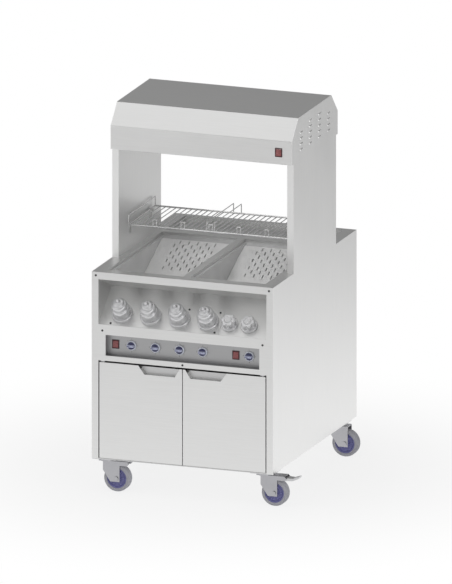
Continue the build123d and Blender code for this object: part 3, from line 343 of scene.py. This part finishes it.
def scoop_marks():
    """Blasted steel in use: slow stains, fine specks, and scratches between stretched cells."""
    tree, reads, gives = new_marks("scoop_marks", {})
    stains = noise(tree, reads["Place"], *STAINS)
    specks = noise(tree, reads["Place"], *SPECKS)
    scratch = tree.nodes.new("ShaderNodeTexVoronoi")
    scratch.feature = "DISTANCE_TO_EDGE"
    scratch.inputs["Scale"].default_value = SCRATCH_SCALE
    cells = squeezed(tree, reads["Place"], SCRATCH_STRETCH, SCRATCH_TURN)
    tree.links.new(cells, scratch.inputs["Vector"])
    shine = map_range(tree, scratch.outputs["Distance"], SCRATCH_SHINE)
    shade = math_node(tree, "MULTIPLY", ramp(tree, stains, *STAIN_SHADE), shine)
    tree.links.new(tint(tree, reads["Tint"], shade), gives["Base Color"])
    rough = math_node(tree, "ADD", reads["Gloss"], ramp(tree, stains, *STAIN_GLOSS))
    rough = math_node(tree, "ADD", rough, ramp(tree, specks, *SPECK_GLOSS))
    tree.links.new(rough, gives["Roughness"])
    tree.links.new(relief(tree, specks, *BLAST_RELIEF), gives["Normal"])
    return tree


HANDLED = scoop_marks()
# painted shade in the scuttles' darker tone, painted light in the drain plates' paler one
pan_steel_shaded = marked("blasted_pan_steel_shaded", HANDLED, (0.68, 0.68, 0.68), 0.42, metal=0.4)
drain_steel_lit = marked("blasted_drain_steel_lit", HANDLED, (0.93, 0.93, 0.925), 0.5, metal=0.1)
dress(pan_steel_shaded, "scuttle_left", "scuttle_right", "sauce_jars")
dress(drain_steel_lit, "drain_plate_left", "drain_plate_right")


# Doors. Two folded stainless pans that turn on zinc-plated pins, with a finger pull cut in each top
# edge near the middle and a plate closing the pull from behind, painted in the darker plain steel
# as the shade in the pull.
DOOR_SHADOW = 0.0022                # how much wider the visible gap above a door is
DOOR_SIDE_SHADOW = 0.0015           # the same beside its outer edge
DOOR_OPEN_TOP = 0.012               # how far the pan behind the face stays below its top edge
DOOR_OPEN_SIDE = 0.004              # and how far inside its outer edge
DOOR_ROUND = 0.0006
ROUND_STEPS = 3
SHEET = 0.0015
PULL_TOP = (0.011, 0.170)           # from the doors' meeting line, the ends of a pull at its top
PULL_BOTTOM = (0.030, 0.147)        # and at its foot
PULL_HEIGHT = 0.032
PULL_PLATE = (0.0168, 0.0182)       # depths of the plate's two faces behind the door's front
PULL_SLOT = 0.005                   # between the plate and the lintel above it
MERGE = 1e-6


def grid_faces(rows, columns, wrap_rows, wrap_columns):
    """Quads over a grid of points stored row by row; either way may close on itself."""
    i = np.arange(rows if wrap_rows else rows - 1)[:, None]
    j = np.arange(columns if wrap_columns else columns - 1)[None, :]
    here, below = i * columns, (i + 1) % rows * columns
    right = (j + 1) % columns
    return np.stack([here + j, here + right, below + right, below + j], axis=-1).reshape(-1, 4)


def face_outwards(mesh, merge):
    """Turn a mesh's faces outwards, after merging doubled points where it closes on itself."""
    shape = bmesh.new()
    shape.from_mesh(mesh)
    if merge:
        bmesh.ops.remove_doubles(shape, verts=shape.verts, dist=MERGE)
        bmesh.ops.dissolve_degenerate(shape, edges=shape.edges, dist=MERGE)
    bmesh.ops.recalc_face_normals(shape, faces=shape.faces)
    shape.to_mesh(mesh)
    shape.free()


def seat(name, mesh, material, body, replaces=(), rounding=0.0):
    """Put a finished mesh into the scene with its material, and make it ride on its body."""
    mesh.materials.append(material)
    piece = bpy.data.objects.new(name, mesh)
    scene.collection.objects.link(piece)
    if rounding:
        bevel = piece.modifiers.new("rounded", "BEVEL")
        bevel.width = rounding
        bevel.segments = ROUND_STEPS
        bevel.limit_method = "ANGLE"
        bevel.harden_normals = True
    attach(piece, body)
    if replaces:
        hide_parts(*replaces)


def slab(name, outline, y0, y1, material, body, replaces=(), rounding=0.0):
    """An outline in (x, z) given thickness from y0 to y1, its edges rounded by a bevel."""
    count = len(outline)
    flat = np.array(outline)
    rows = [np.stack([flat[:, 0], np.full(count, y), flat[:, 1]], -1) for y in (y0, y1)]
    mesh = bpy.data.meshes.new(name)
    sides = grid_faces(2, count, False, True).tolist()
    faces = [list(range(count)), list(range(2 * count - 1, count - 1, -1)), *sides]
    mesh.from_pydata(np.vstack(rows).tolist(), [], faces)
    face_outwards(mesh, False)
    if rounding:
        mesh.polygons.foreach_set("use_smooth", [True] * len(mesh.polygons))
    seat(name, mesh, material, body, replaces, rounding)


for side, hand in ((-1, "left"), (1, "right")):
    low, high = (np.array(corner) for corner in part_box(f"door_{hand}"))
    high[2] -= DOOR_SHADOW
    near, far = (low[0], high[0]) if side > 0 else (high[0], low[0])
    far -= side * DOOR_SIDE_SHADOW
    sill = high[2] - PULL_HEIGHT
    pull = [(side * PULL_TOP[0], high[2]), (side * PULL_BOTTOM[0], sill),
            (side * PULL_BOTTOM[1], sill), (side * PULL_TOP[1], high[2])]
    outline = [(near, low[2]), (near, high[2]), *pull, (far, high[2]), (far, low[2])]
    body = f"door_{hand}"
    skin = low[1] + SHEET
    slab(f"door_face_{hand}", outline, low[1], skin, shaded_steel_x, body,
         [f"door_{hand}"], DOOR_ROUND)

    drop, share = high[2] - DOOR_OPEN_TOP, DOOR_OPEN_TOP / PULL_HEIGHT
    heel = far - side * DOOR_OPEN_SIDE
    ends = (side * (top + share * (foot - top)) for top, foot in zip(PULL_TOP, PULL_BOTTOM))
    first, last = ((end, drop) for end in ends)
    behind = [(near, low[2]), (near, drop), first, *pull[1:3], last, (heel, drop), (heel, low[2])]
    slab(f"door_pan_{hand}", behind, skin, high[1], shaded_steel_x, body)

    slot = np.array((0.0, PULL_SLOT))
    plate = [pull[0] - slot, pull[1], pull[2], pull[3] - slot]
    front, back = (low[1] + depth for depth in PULL_PLATE)
    # the darker plain steel on the plate is painted shade in the recessed pull
    slab(f"pull_plate_{hand}", plate, front, back, inner_steel_and_pull_shade, body)

zinc = marked("zinc_plate", HANDLED, (0.62, 0.62, 0.63), 0.34)
dress(zinc, "hinge_pins")


# Sauce pump heads. Silver-grey moulded heads in four swelling steps, each sliding in a fixed guide
# ring; hollow underneath, with the plunger stem down the middle.
PANEL_TILT = radians(42.0)
PANEL_FOOT = (0.0, -0.4425, 0.6185)
HEAD_UP_SLOPE = 0.0625
HEAD_X = (-0.2475, -0.1372, -0.0269, 0.0834)
HEAD_TIERS = ((0.0335, 0.049), (0.029, 0.072), (0.020, 0.082), (0.006, 0.0945))     # radius, top
HEAD_FEET = (0.004, 0.008, 0.004, 0.002)            # height over which each tier swells
HEAD_SHOULDERS = (0.009, 0.011, 0.007, 0.005)       # and over which it goes in again at its top
HEAD_NECK = 0.004
HEAD_RIM = 0.001                    # how far the lower edge stands inside the first tier
HEAD_SKIRT = 0.008
HEAD_WALL = 0.003
SWELL = 3
STEM_RADIUS = 0.004
STEM_ENDS = (-0.015, 0.0765)
CURVE_POINTS = 9
SEGMENTS = 96
PIN_SEGMENTS = 24
MOTTLE = (40.0, 4.0)                # scale and detail of the noise
PEEL = (700.0, 2.0)
MOTTLE_GLOSS = (-0.04, 0.06)
PEEL_RELIEF = (0.15, 0.0002)


def on_slope(x, up):
    """Matrix that stands a piece made about Z on the tilted sauce panel."""
    side = np.array((1.0, 0.0, 0.0))
    rise = np.array((0.0, cos(PANEL_TILT), sin(PANEL_TILT)))
    out = np.array((0.0, -sin(PANEL_TILT), cos(PANEL_TILT)))
    matrix = np.eye(4)
    matrix[:3, 0], matrix[:3, 1], matrix[:3, 2] = side, rise, out
    matrix[:3, 3] = np.array(PANEL_FOOT) + x * side + up * rise
    return matrix


def put(points, matrix):
    """Points turned and moved by a matrix."""
    return points @ matrix[:3, :3].T + matrix[:3, 3]


def add_piece(name, surface, material, body, replaces=(), matrix=np.eye(4), smooth=True):
    """Put a surface's points and faces into a mesh at its place, closed and facing outwards."""
    points, faces = surface
    mesh = bpy.data.meshes.new(name)
    mesh.from_pydata(put(points, matrix).tolist(), [], faces.tolist())
    face_outwards(mesh, True)
    mesh.polygons.foreach_set("use_smooth", [smooth] * len(mesh.polygons))
    seat(name, mesh, material, body, replaces)


def round_turn(segments):
    """Even angles once round Z, as a column."""
    return np.linspace(0, 2 * pi, segments, endpoint=False)[:, None]


def round_surface(angle, radius, height):
    """Closed surface round Z, (r cos a, r sin a, h): a row of points for each angle."""
    grid = np.broadcast_arrays(radius * np.cos(angle), radius * np.sin(angle), height)
    points = np.stack(grid, -1)
    rows, columns = points.shape[:2]
    return points.reshape(-1, 3), grid_faces(rows, columns, True, True)


def turned(section, segments=SEGMENTS):
    """Surface of revolution: each (radius, height) of a closed section goes round Z."""
    return round_surface(round_turn(segments), section[:, 0], section[:, 1])


def pin(radius, ends):
    """A plain round pin about Z from the one end to the other."""
    low, high = ends
    section = np.array([(0.0, low), (radius, low), (radius, high), (0.0, high)])
    return turned(section, PIN_SEGMENTS)


def moulded_skin():
    """Moulded plastic: faint mottling in colour and gloss, and a very fine orange-peel relief."""
    tree, reads, gives = new_marks("moulded_skin", {"Speck": "Float"})
    slow = noise(tree, reads["Place"], *MOTTLE)
    peel = noise(tree, reads["Place"], *PEEL)
    dark = math_node(tree, "SUBTRACT", 1.0, reads["Speck"])
    light = math_node(tree, "ADD", 1.0, reads["Speck"])
    tree.links.new(tint(tree, reads["Tint"], ramp(tree, slow, dark, light)), gives["Base Color"])
    rough = math_node(tree, "ADD", reads["Gloss"], ramp(tree, slow, *MOTTLE_GLOSS))
    tree.links.new(rough, gives["Roughness"])
    tree.links.new(relief(tree, peel, *PEEL_RELIEF), gives["Normal"])
    return tree


SKIN = moulded_skin()


def moulded(name, colour, gloss, speck=0.02, coat=0.0, metal=0.0):
    """Moulded plastic, with how far its colour mottles and any clear coat or metallic sheen."""
    return marked(name, SKIN, colour, gloss, metal, coat, Speck=speck)


def head_section():
    """Outline of a stepped head, from the rim up over the tiers to the tip, and back inside.

    Each tier swells from its neck to its radius R and goes in again to the next neck:
    r = neck + (R - neck) (1 - |t|^3)^(1/3), with t from -1 at its foot through 0 to 1 at its top.
    """
    t = np.linspace(0, 1, CURVE_POINTS)[:, None]
    swell = (1 - t**SWELL) ** (1 / SWELL)
    necks = [radius - HEAD_NECK for radius, _ in HEAD_TIERS[1:]] + [0.0]
    outside, neck, foot = [], HEAD_TIERS[0][0] - HEAD_RIM, -HEAD_SKIRT
    for (radius, top), low, high, above in zip(HEAD_TIERS, HEAD_FEET, HEAD_SHOULDERS, necks):
        out, up = neck + (radius - neck) * swell[::-1], foot + low * (1 - t[::-1])
        back, over = above + (radius - above) * swell, top - high * (1 - t)
        outside += [np.hstack([out, up]), np.hstack([back, over])]
        neck, foot = above, top
    (r0, h0), (r1, h1), (r2, h2), _ = HEAD_TIERS
    wall = HEAD_WALL + HEAD_NECK
    roof = h2 - wall
    inside = [(0.0, roof), (STEM_RADIUS, roof), (r2 - wall, roof), (r2 - wall, h1 - wall),
              (r1 - wall, h1 - 2 * wall), (r1 - wall, h0 - wall), (r0 - HEAD_WALL, h0 - 2 * wall),
              (r0 - HEAD_WALL, -HEAD_SKIRT)]
    return np.vstack([*outside, inside])


head_plastic = moulded("pump_head_silver", (0.76, 0.76, 0.77), 0.3, metal=0.6)
dress(moulded("guide_ring_silver", (0.76, 0.76, 0.77), 0.3, metal=0.4), "pump_collars")
for number, head_x in enumerate(HEAD_X, 1):
    body = f"pump_{number}"
    place = on_slope(head_x, HEAD_UP_SLOPE)
    add_piece(f"pump_head_shell_{number}", turned(head_section()), head_plastic, body,
              [f"pump_head_{number}"], place)
    add_piece(f"pump_stem_{number}", pin(STEM_RADIUS, STEM_ENDS), head_plastic, body,
              matrix=place)


# Hood shell. One sheet folded six times over the side sheets, with a bend radius of 3.5 mm and
# narrow lips turned in under its lower edges; a rocker sits in its fascia.
HOOD_BEND = 0.0035
HOOD_CHAMFER = (0.068, 0.074)       # run and drop
HOOD_LIP = 0.020
HOOD_STEPS = 6                      # points on one bend
BEND_SHARE = 0.49                   # the most of a side that one bend may take


def eased(corners, radii, steps):
    """A polyline with its inner corners rounded: a quadratic curve between two tangent points."""
    corners = np.array(corners, float)
    line = [corners[0]]
    t = np.linspace(0, 1, steps)[:, None]
    for before, corner, after, radius in zip(corners, corners[1:], corners[2:], radii):
        first, second = before - corner, after - corner
        long, wide = np.linalg.norm(first), np.linalg.norm(second)
        reach = min(radius, BEND_SHARE * long, BEND_SHARE * wide)
        start, end = corner + reach * first / long, corner + reach * second / wide
        line.extend((1 - t) ** 2 * start + 2 * t * (1 - t) * corner + t**2 * end)
    line.append(corners[-1])
    return np.array(line)


def folded_sheet(line, thickness, x0, x1):
    """A bent line in YZ given a wall and carried along X.

    The wall's other face is the line moved along its own normal, and quads between the two close
    the ends.
    """
    step = np.gradient(line, axis=0)
    step /= np.linalg.norm(step, axis=1)[:, None]
    inside = line + thickness * np.stack([-step[:, 1], step[:, 0]], -1)
    section = np.vstack([line, inside[::-1]])
    count, total = len(line), 2 * len(line)
    rows = [np.concatenate([np.full((total, 1), x), section], 1) for x in (x0, x1)]
    i = np.arange(count - 1)
    cap = np.stack([i, i + 1, total - 2 - i, total - 1 - i], -1)
    faces = np.vstack([grid_faces(2, total, False, True), cap[:, ::-1], cap + total])
    return np.vstack(rows), faces


low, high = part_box("hood_shell")
reach, foot, top = high[1], low[2], high[2]
half = [(reach - HOOD_LIP, foot), (reach, foot), (reach, top - HOOD_CHAMFER[1]),
        (reach - HOOD_CHAMFER[0], top)]
line = eased(half + [(-y, z) for y, z in reversed(half)], [HOOD_BEND] * 6, HOOD_STEPS)
add_piece("hood_folded", folded_sheet(line, SHEET, low[0], high[0]), shaded_steel_x, "cabinet",
          ["hood_shell"], smooth=False)


# Star caps. Silver-grey screw caps over the two plain wells, with a six-lobed grip on a round skirt
# and a shallow dish in the top.
CAP_X = (0.166, 0.241)
CAP_RADIUS = 0.0315
CAP_BASE = 0.008
CAP_HEIGHT = 0.034
CAP_DISH = (0.62, 0.5, 0.003)       # shares of the grip's radius at its rim and floor, and depth
CAP_BENDS = (0.001, 0.003, 0.002, 0.004, 0.002, 0.002)
FINE_STEPS = 7                      # points on one of its bends
CAP_LOBES = 6
GRIP_RADIUS = 0.0235
GRIP_ROOT = (0.0005, 0.002)         # height over the skirt where the lobes start, and their rise
GRIP_CROWN = 0.7                    # share of the grip's radius where they fade out on top
LOBE_DEPTH = 0.0068
LOBE_SHAPE = (0.8, 0.45)            # power that rounds a lobe, and its zero line


def star_cap():
    """Cap as radius and height along a section; the grip's radius varies with the angle.

    r = section radius + grip share * depth * lobe(a), where lobe is the sixth-fold |cos| raised to
    a soft power, so lobes are round and the valleys between them narrower.
    """
    rim, floor, dish = CAP_DISH
    section = eased(
        [(0.0, 0.0), (CAP_RADIUS, 0.0), (CAP_RADIUS, CAP_BASE), (GRIP_RADIUS, CAP_BASE),
         (GRIP_RADIUS, CAP_HEIGHT), (GRIP_RADIUS * rim, CAP_HEIGHT),
         (GRIP_RADIUS * floor, CAP_HEIGHT - dish), (0.0, CAP_HEIGHT - dish)],
        CAP_BENDS, FINE_STEPS,
    )
    angle = round_turn(2 * SEGMENTS)
    radius, height = section.T
    side = np.clip((height - CAP_BASE - GRIP_ROOT[0]) / GRIP_ROOT[1], 0, 1)
    crown = np.clip((radius / GRIP_RADIUS - GRIP_CROWN) / (1 - GRIP_CROWN), 0, 1)
    power, middle = LOBE_SHAPE
    lobe = np.abs(np.cos(CAP_LOBES * angle / 2)) ** power - middle
    return round_surface(angle, radius + side * crown * LOBE_DEPTH * lobe, height)


cap_plastic = moulded("star_cap_silver", (0.8, 0.8, 0.81), 0.28, metal=0.5)
for number, cap_x in enumerate(CAP_X, 1):
    add_piece(f"star_cap_grip_{number}", star_cap(), cap_plastic, f"cap_{number}",
              [f"star_cap_{number}"], on_slope(cap_x, HEAD_UP_SLOPE))


# Thermostat knobs. A pale ring skirt, a navy disc and a pale bar grip across it with a navy
# pointer; the dial figures round each knob are printed on the brushed control panel.
KNOB_X = (-0.2065, -0.1143, -0.021, 0.0681, 0.2483)
CONTROL_Y = -0.4155
CONTROL_Z = 0.553
CONTROL_GREY = (0.41, 0.41, 0.415)
KNOB_RADIUS = 0.0185
KNOB_SKIRT = 0.004
KNOB_DISC = (0.0145, 0.008)         # radius and top
KNOB_BAR = 0.009
KNOB_HEIGHT = 0.019
KNOB_LIFT = 0.001
KNOB_SINK = 0.001                   # how far one piece of a knob sits in the one below
SKIRT_BENDS = (0.0004, 0.0015, 0.0008)
SKIRT_STEPS = 6
SHAFT_RADIUS = 0.003
SHAFT_ENDS = (-0.012, 0.004)
DISC_DRAFT = 0.0005
DISC_BENDS = (0.0005, 0.0015)
SCALLOPS = 18
SCALLOP_DEPTH = 0.0003
SCALLOP_BAND = (0.85, 0.1)          # share of the disc's radius where they start, and their run-in
GRIP_POWER = 6
GRIP_RINGS = ((0.002, 0.0005), (0.0006, 0.001), (0.0, 0.0022))      # below the top, and inset
GRIP_TIP = 0.0001
GRIP_CLOSE = 2.9                    # how much faster the last ring closes lengthwise
POINTER = (-0.0125, -0.001, 0.0008)     # its two ends and half its width
POINTER_RISE = (-0.0005, 0.0003)        # from below to above the grip's top
DIAL_MARKS = 7
DIAL_STEP = 45
DIAL_RADIUS = 0.0235
FIGURE_SIZE = 0.0055
FIGURE_INK = 0.00008
FIGURE_STEPS = 3
FIGURE_LIFT = 0.0001


def facing_front(x, y, z):
    """Matrix that turns a piece made about Z to face -Y at a place; its own +Y then points up."""
    matrix = np.eye(4)
    matrix[:3, 0], matrix[:3, 1], matrix[:3, 2] = (1, 0, 0), (0, 0, 1), (0, -1, 0)
    matrix[:3, 3] = (x, y, z)
    return matrix


def knob_skirt():
    """Ring under the disc: a plain section with eased edges, turned about Z."""
    seat_height = KNOB_SKIRT + KNOB_SINK
    corners = [(SHAFT_RADIUS, KNOB_LIFT), (KNOB_RADIUS, KNOB_LIFT), (KNOB_RADIUS, KNOB_SKIRT),
               (KNOB_DISC[0], seat_height), (SHAFT_RADIUS, seat_height)]
    return turned(eased(corners, SKIRT_BENDS, SKIRT_STEPS))


def knob_disc():
    """Disc whose side waves with the angle: r = section radius - side share * depth * wave."""
    radius, top = KNOB_DISC
    base = KNOB_SKIRT - KNOB_SINK
    section = eased([(0.0, base), (radius, base), (radius - DISC_DRAFT, top), (0.0, top)],
                    DISC_BENDS, FINE_STEPS)
    angle = round_turn(2 * SEGMENTS)
    reach, height = section.T
    start, run = SCALLOP_BAND
    side = np.clip(reach / radius - start, 0, run) / run
    wave = 1 - np.cos(SCALLOPS * angle)
    return round_surface(angle, reach - side * SCALLOP_DEPTH * wave, height)


def bar_grip():
    """Bar across the disc: rings of a superellipse, |x/a|^6 + |y/b|^6 = 1, closing at the top."""
    t = np.linspace(0, 2 * pi, SEGMENTS, endpoint=False)
    x, y = (np.sign(f(t)) * np.abs(f(t)) ** (2 / GRIP_POWER) for f in (np.cos, np.sin))
    drops, insets = np.array(GRIP_RINGS).T
    height = np.array([KNOB_DISC[1] - KNOB_SINK, *(KNOB_HEIGHT - drops), KNOB_HEIGHT])[:, None]
    inset = np.array([0.0, *insets, KNOB_BAR / 2 - GRIP_TIP])[:, None]
    close = np.array([1, 1, 1, 1, GRIP_CLOSE])[:, None]
    a, b = KNOB_DISC[0] - KNOB_SINK - inset * close, KNOB_BAR / 2 - inset
    points = np.stack([a * x, b * y, height + 0 * x], -1).reshape(-1, 3)
    return points, grid_faces(len(height), SEGMENTS, False, True)


def bar(x0, x1, y0, y1, z0, z1):
    """The eight corners and six faces of a straight bar."""
    corners = np.array([(x, y, z) for x in (x0, x1) for y in (y0, y1) for z in (z0, z1)])
    faces = [(0, 1, 3, 2), (4, 6, 7, 5), (0, 4, 5, 1), (2, 3, 7, 6), (0, 2, 6, 4), (1, 5, 7, 3)]
    return corners, np.array(faces)


def print_figure(name, text, matrix, material, body):
    """A flat figure with a little thickness, made a mesh and put in place."""
    curve = bpy.data.curves.new(name, "FONT")
    curve.body = text
    curve.size = FIGURE_SIZE
    curve.extrude = FIGURE_INK
    curve.resolution_u = FIGURE_STEPS
    curve.align_x = "CENTER"
    curve.align_y = "CENTER"
    writer = bpy.data.objects.new(name + "_curve", curve)
    scene.collection.objects.link(writer)
    written = writer.evaluated_get(bpy.context.evaluated_depsgraph_get())
    mesh = bpy.data.meshes.new_from_object(written)
    bpy.data.objects.remove(writer)
    points = np.empty(len(mesh.vertices) * 3)
    mesh.vertices.foreach_get("co", points)
    mesh.vertices.foreach_set("co", put(points.reshape(-1, 3), matrix).ravel())
    mesh.name = name
    mesh.materials.clear()
    seat(name, mesh, material, body)


control_steel = marked("control_panel_steel", BRUSHED, CONTROL_GREY, 0.38, Stretch=LENGTHWISE)
dress(control_steel, "control_panel")
dress(zinc, "thermostats")
navy = moulded("knob_navy", (0.028, 0.03, 0.12), 0.3, coat=0.3)
grip_pale = moulded("knob_grip_pale", (0.55, 0.58, 0.78), 0.32, coat=0.2)
ring_pale = moulded("knob_ring", (0.8, 0.83, 0.92), 0.35)
pointer_ink = moulded("pointer_navy", (0.03, 0.03, 0.1), 0.4)
ink = moulded("panel_print", (0.05, 0.05, 0.06), 0.6)
left, right, half = POINTER
under, over = (KNOB_HEIGHT + rise for rise in POINTER_RISE)
for number, knob_x in enumerate(KNOB_X, 1):
    body = f"knob_{number}"
    place = facing_front(knob_x, CONTROL_Y, CONTROL_Z)
    add_piece(f"knob_skirt_{number}", knob_skirt(), ring_pale, body,
              [f"knob_{number}"], place)
    add_piece(f"knob_disc_{number}", knob_disc(), navy, body, matrix=place)
    add_piece(f"knob_grip_{number}", bar_grip(), grip_pale, body, matrix=place)
    add_piece(f"knob_pointer_{number}", bar(left, right, -half, half, under, over), pointer_ink,
              body, matrix=place, smooth=False)
    add_piece(f"knob_shaft_{number}", pin(SHAFT_RADIUS, SHAFT_ENDS), zinc, body,
              matrix=place)
    for mark in range(DIAL_MARKS):
        turn = radians(180 - DIAL_STEP * mark)
        across, up = DIAL_RADIUS * cos(turn), DIAL_RADIUS * sin(turn)
        spot = facing_front(knob_x + across, CONTROL_Y - FIGURE_LIFT, CONTROL_Z + up)
        print_figure(f"dial_{number}_{mark}", str(mark), spot, ink, "cabinet")


# Rocker switches. Dark red frames snapped into the panel, each with a translucent red rocker,
# dished in its two faces and lit from behind.
ROCKER_SEATS = (
    (-0.2675, CONTROL_Y, CONTROL_Z),
    (0.1962, CONTROL_Y, CONTROL_Z),
    (0.2983, -0.243, 1.279),
)
ROCKER_WIDTH = 0.020
ROCKER_HEIGHT = 0.024
ROCKER_FRONT = (-0.001, -0.0032, -0.0055)       # depths at the front's top, middle and bottom
ROCKER_DISH = 0.0007
ROCKER_BACK = (0.003, 0.009, 0.004)     # depths of its back edge and tail, and half the tail
ROCKER_END = 0.94                   # share of its size where the ends start to close
ROCKER_RED = (0.27, 0.095, 0.095)
GLOW_NOISE = (120.0, 2.0)
GLOW_SHADE = (0.9, 1.15)
GLOW_GLOSS = (0.16, 0.28)
GLOW = (0.8, 0.15, 0.16, 1.0)
GLOW_STRENGTH = 0.05


def rocker_shell():
    """Rocker as a section (depth against height) carried across X.

    Both faces are dished by a sine, and the ends close on the middle of the section.
    """
    half = ROCKER_HEIGHT / 2
    t = np.linspace(0, 1, CURVE_POINTS)
    top, middle, bottom = ROCKER_FRONT
    dish = ROCKER_DISH * np.sin(pi * t)
    upper = np.stack([top + (middle - top) * t + dish, half * (1 - t)], -1)
    lower = np.stack([middle + (bottom - middle) * t + dish, -half * t], -1)
    edge, tail, narrow = ROCKER_BACK
    back = np.array([(edge, -half), (tail, -narrow), (tail, narrow), (edge, half)])
    section = np.vstack([upper, lower[1:], back])
    x = np.array((-1, -1, -ROCKER_END, ROCKER_END, 1, 1)) * ROCKER_WIDTH / 2
    shrink = np.array((0, ROCKER_END, 1, 1, ROCKER_END, 0))[:, None, None]
    centre = section.mean(axis=0)
    rings = centre + (section[None] - centre) * shrink
    across = np.broadcast_to(x[:, None, None], (*rings.shape[:2], 1))
    points = np.concatenate([across, rings], -1)
    return points.reshape(-1, 3), grid_faces(len(x), len(section), False, True)


def lit_red():
    """Translucent red plastic: its colour and gloss vary with a slow noise, under a weak glow."""
    material, tree, shader, place = new_material("rocker_red")
    slow = noise(tree, place, *GLOW_NOISE)
    red = tint(tree, ROCKER_RED, ramp(tree, slow, *GLOW_SHADE))
    tree.links.new(red, shader.inputs["Base Color"])
    tree.links.new(ramp(tree, slow, *GLOW_GLOSS), shader.inputs["Roughness"])
    shader.inputs["Emission Color"].default_value = GLOW
    shader.inputs["Emission Strength"].default_value = GLOW_STRENGTH
    return material


rocker_red = lit_red()
dress(moulded("switch_frame_red", (0.06, 0.013, 0.018), 0.35), "switch_frames")
for number, rocker_seat in enumerate(ROCKER_SEATS, 1):
    place = np.eye(4)
    place[:3, 3] = rocker_seat
    add_piece(f"rocker_shell_{number}", rocker_shell(), rocker_red, f"rocker_{number}",
              [f"rocker_{number}"], place)


# Castors. Zinc-plated forks that swivel under their top plates, painted darker than the other zinc
# as shade, blue moulded hubs with ribs and grey rubber tyres; two of them have a foot brake.
CASTORS = {         # swivel axis, and the side to which the wheel trails
    "front_left": (-0.304, -0.400, 1),
    "front_right": (0.304, -0.400, 1),
    "rear_left": (-0.304, 0.350, -1),
    "rear_right": (0.304, 0.350, 1),
}
TRAIL = 0.0405
WHEEL_RADIUS = 0.050
WHEEL_WIDTH = 0.035
TYRE_DEPTH = 0.013
RIM = WHEEL_RADIUS - TYRE_DEPTH
HUB_BOSS = ((0.00505, 0.0015), (0.012, 0.0015), (0.0135, -0.005))   # radius, height past the side
HUB_RIM = ((0.0065, -0.006), (0.0035, -0.001), (0.0, -0.001))       # the same inside the rim
HUB_BENDS = (0.001, 0.002, 0.002, 0.001)
WHEEL_STEPS = 5
HUB_RIBS = 6
RIB_SHAPE = (0.55, 0.3, 0.0035)     # cosine where a rib starts, its run-in and its height
RIB_FADE = 0.002                    # over which the ribs run out at the boss and the rim
TYRE_LIP = (0.002, 0.001)           # width and drop of the slope at the rim
TYRE_SHOULDER = (0.003, 0.005)      # and of the one at the tread
TREAD_LINE = (0.0004, 0.0006)       # depth and half the width
TYRE_BENDS = (0.001, 0.003, 0.004, 0.0002, 0.0001, 0.0002, 0.004, 0.003, 0.001)


def hub():
    """Hub, ribbed web and rim: ribs, narrow waves of the angle, raise the web's height."""
    half = WHEEL_WIDTH / 2
    face = [(radius, half + past) for radius, past in HUB_BOSS]
    face += [(RIM - inside, half + past) for inside, past in HUB_RIM]
    near = eased(face, HUB_BENDS, WHEEL_STEPS)
    section = np.vstack([near, near[::-1] * (1, -1)])
    angle = round_turn(2 * SEGMENTS)
    radius, height = section.T
    web = np.clip((radius - HUB_BOSS[-1][0]) / RIB_FADE, 0, 1)
    web = web * np.clip((RIM - HUB_RIM[0][0] - radius) / RIB_FADE, 0, 1)
    start, run, rise = RIB_SHAPE
    rib = np.clip((np.cos(HUB_RIBS * angle) - start) / run, 0, 1)
    return round_surface(angle, radius, height + np.sign(height) * web * rib * rise)


def tyre():
    """Tyre ring with eased shoulders and a fine moulding line round the middle of the tread."""
    half = WHEEL_WIDTH / 2
    (lip, lip_drop), (shoulder, shoulder_drop), (groove, line) = TYRE_LIP, TYRE_SHOULDER, TREAD_LINE
    flank = [(RIM, half - lip_drop), (RIM + lip, half), (WHEEL_RADIUS - shoulder, half),
             (WHEEL_RADIUS, half - shoulder_drop), (WHEEL_RADIUS, line)]
    corners = [(radius, -height) for radius, height in flank]
    corners += [(WHEEL_RADIUS - groove, 0.0), *reversed(flank)]
    return turned(eased(corners, TYRE_BENDS, WHEEL_STEPS), 2 * SEGMENTS)


hub_blue = moulded("hub_blue", (0.19, 0.19, 0.42), 0.42)
rubber = moulded("tyre_grey", (0.5, 0.5, 0.54), 0.72, speck=0.06)
# the forks' darker zinc is painted shade
fork_zinc_shaded = marked("fork_zinc_shaded", HANDLED, (0.46, 0.46, 0.48), 0.34)
for corner, (x, y, way) in CASTORS.items():
    place = facing_front(x + way * TRAIL, y, WHEEL_RADIUS)
    body = f"wheel_{corner}"
    add_piece(f"hub_{corner}", hub(), hub_blue, body, [f"wheel_core_{corner}"],
              place)
    add_piece(f"tread_{corner}", tyre(), rubber, body, [f"tyre_{corner}"], place)
    dress(fork_zinc_shaded, f"castor_fork_{corner}")

dress(zinc, "castor_plates", "brake_pedal_front_right", "brake_pedal_rear_left")


# Rack, guards and small fittings. Bright wire, black screws, the rear gland, ceramic emitters with
# a glaze and the red silicone heating mats.
bright_wire = marked("bright_wire", HANDLED, (0.72, 0.72, 0.72), 0.2)
ceramic_glaze = moulded("ceramic_glaze", (0.8, 0.78, 0.72), 0.22, speck=0.05, coat=0.4)
dress(bright_wire, "wire_rack", "rack_hooks", "heater_guard")
dress(moulded("screw_black", (0.05, 0.05, 0.05), 0.35), "screws")
dress(moulded("gland_black", (0.03, 0.03, 0.03), 0.5), "cable_gland")
dress(ceramic_glaze, "ceramic_heaters")
dress(moulded("silicone_mat", (0.3, 0.09, 0.05), 0.65, speck=0.08), "bin_heaters")
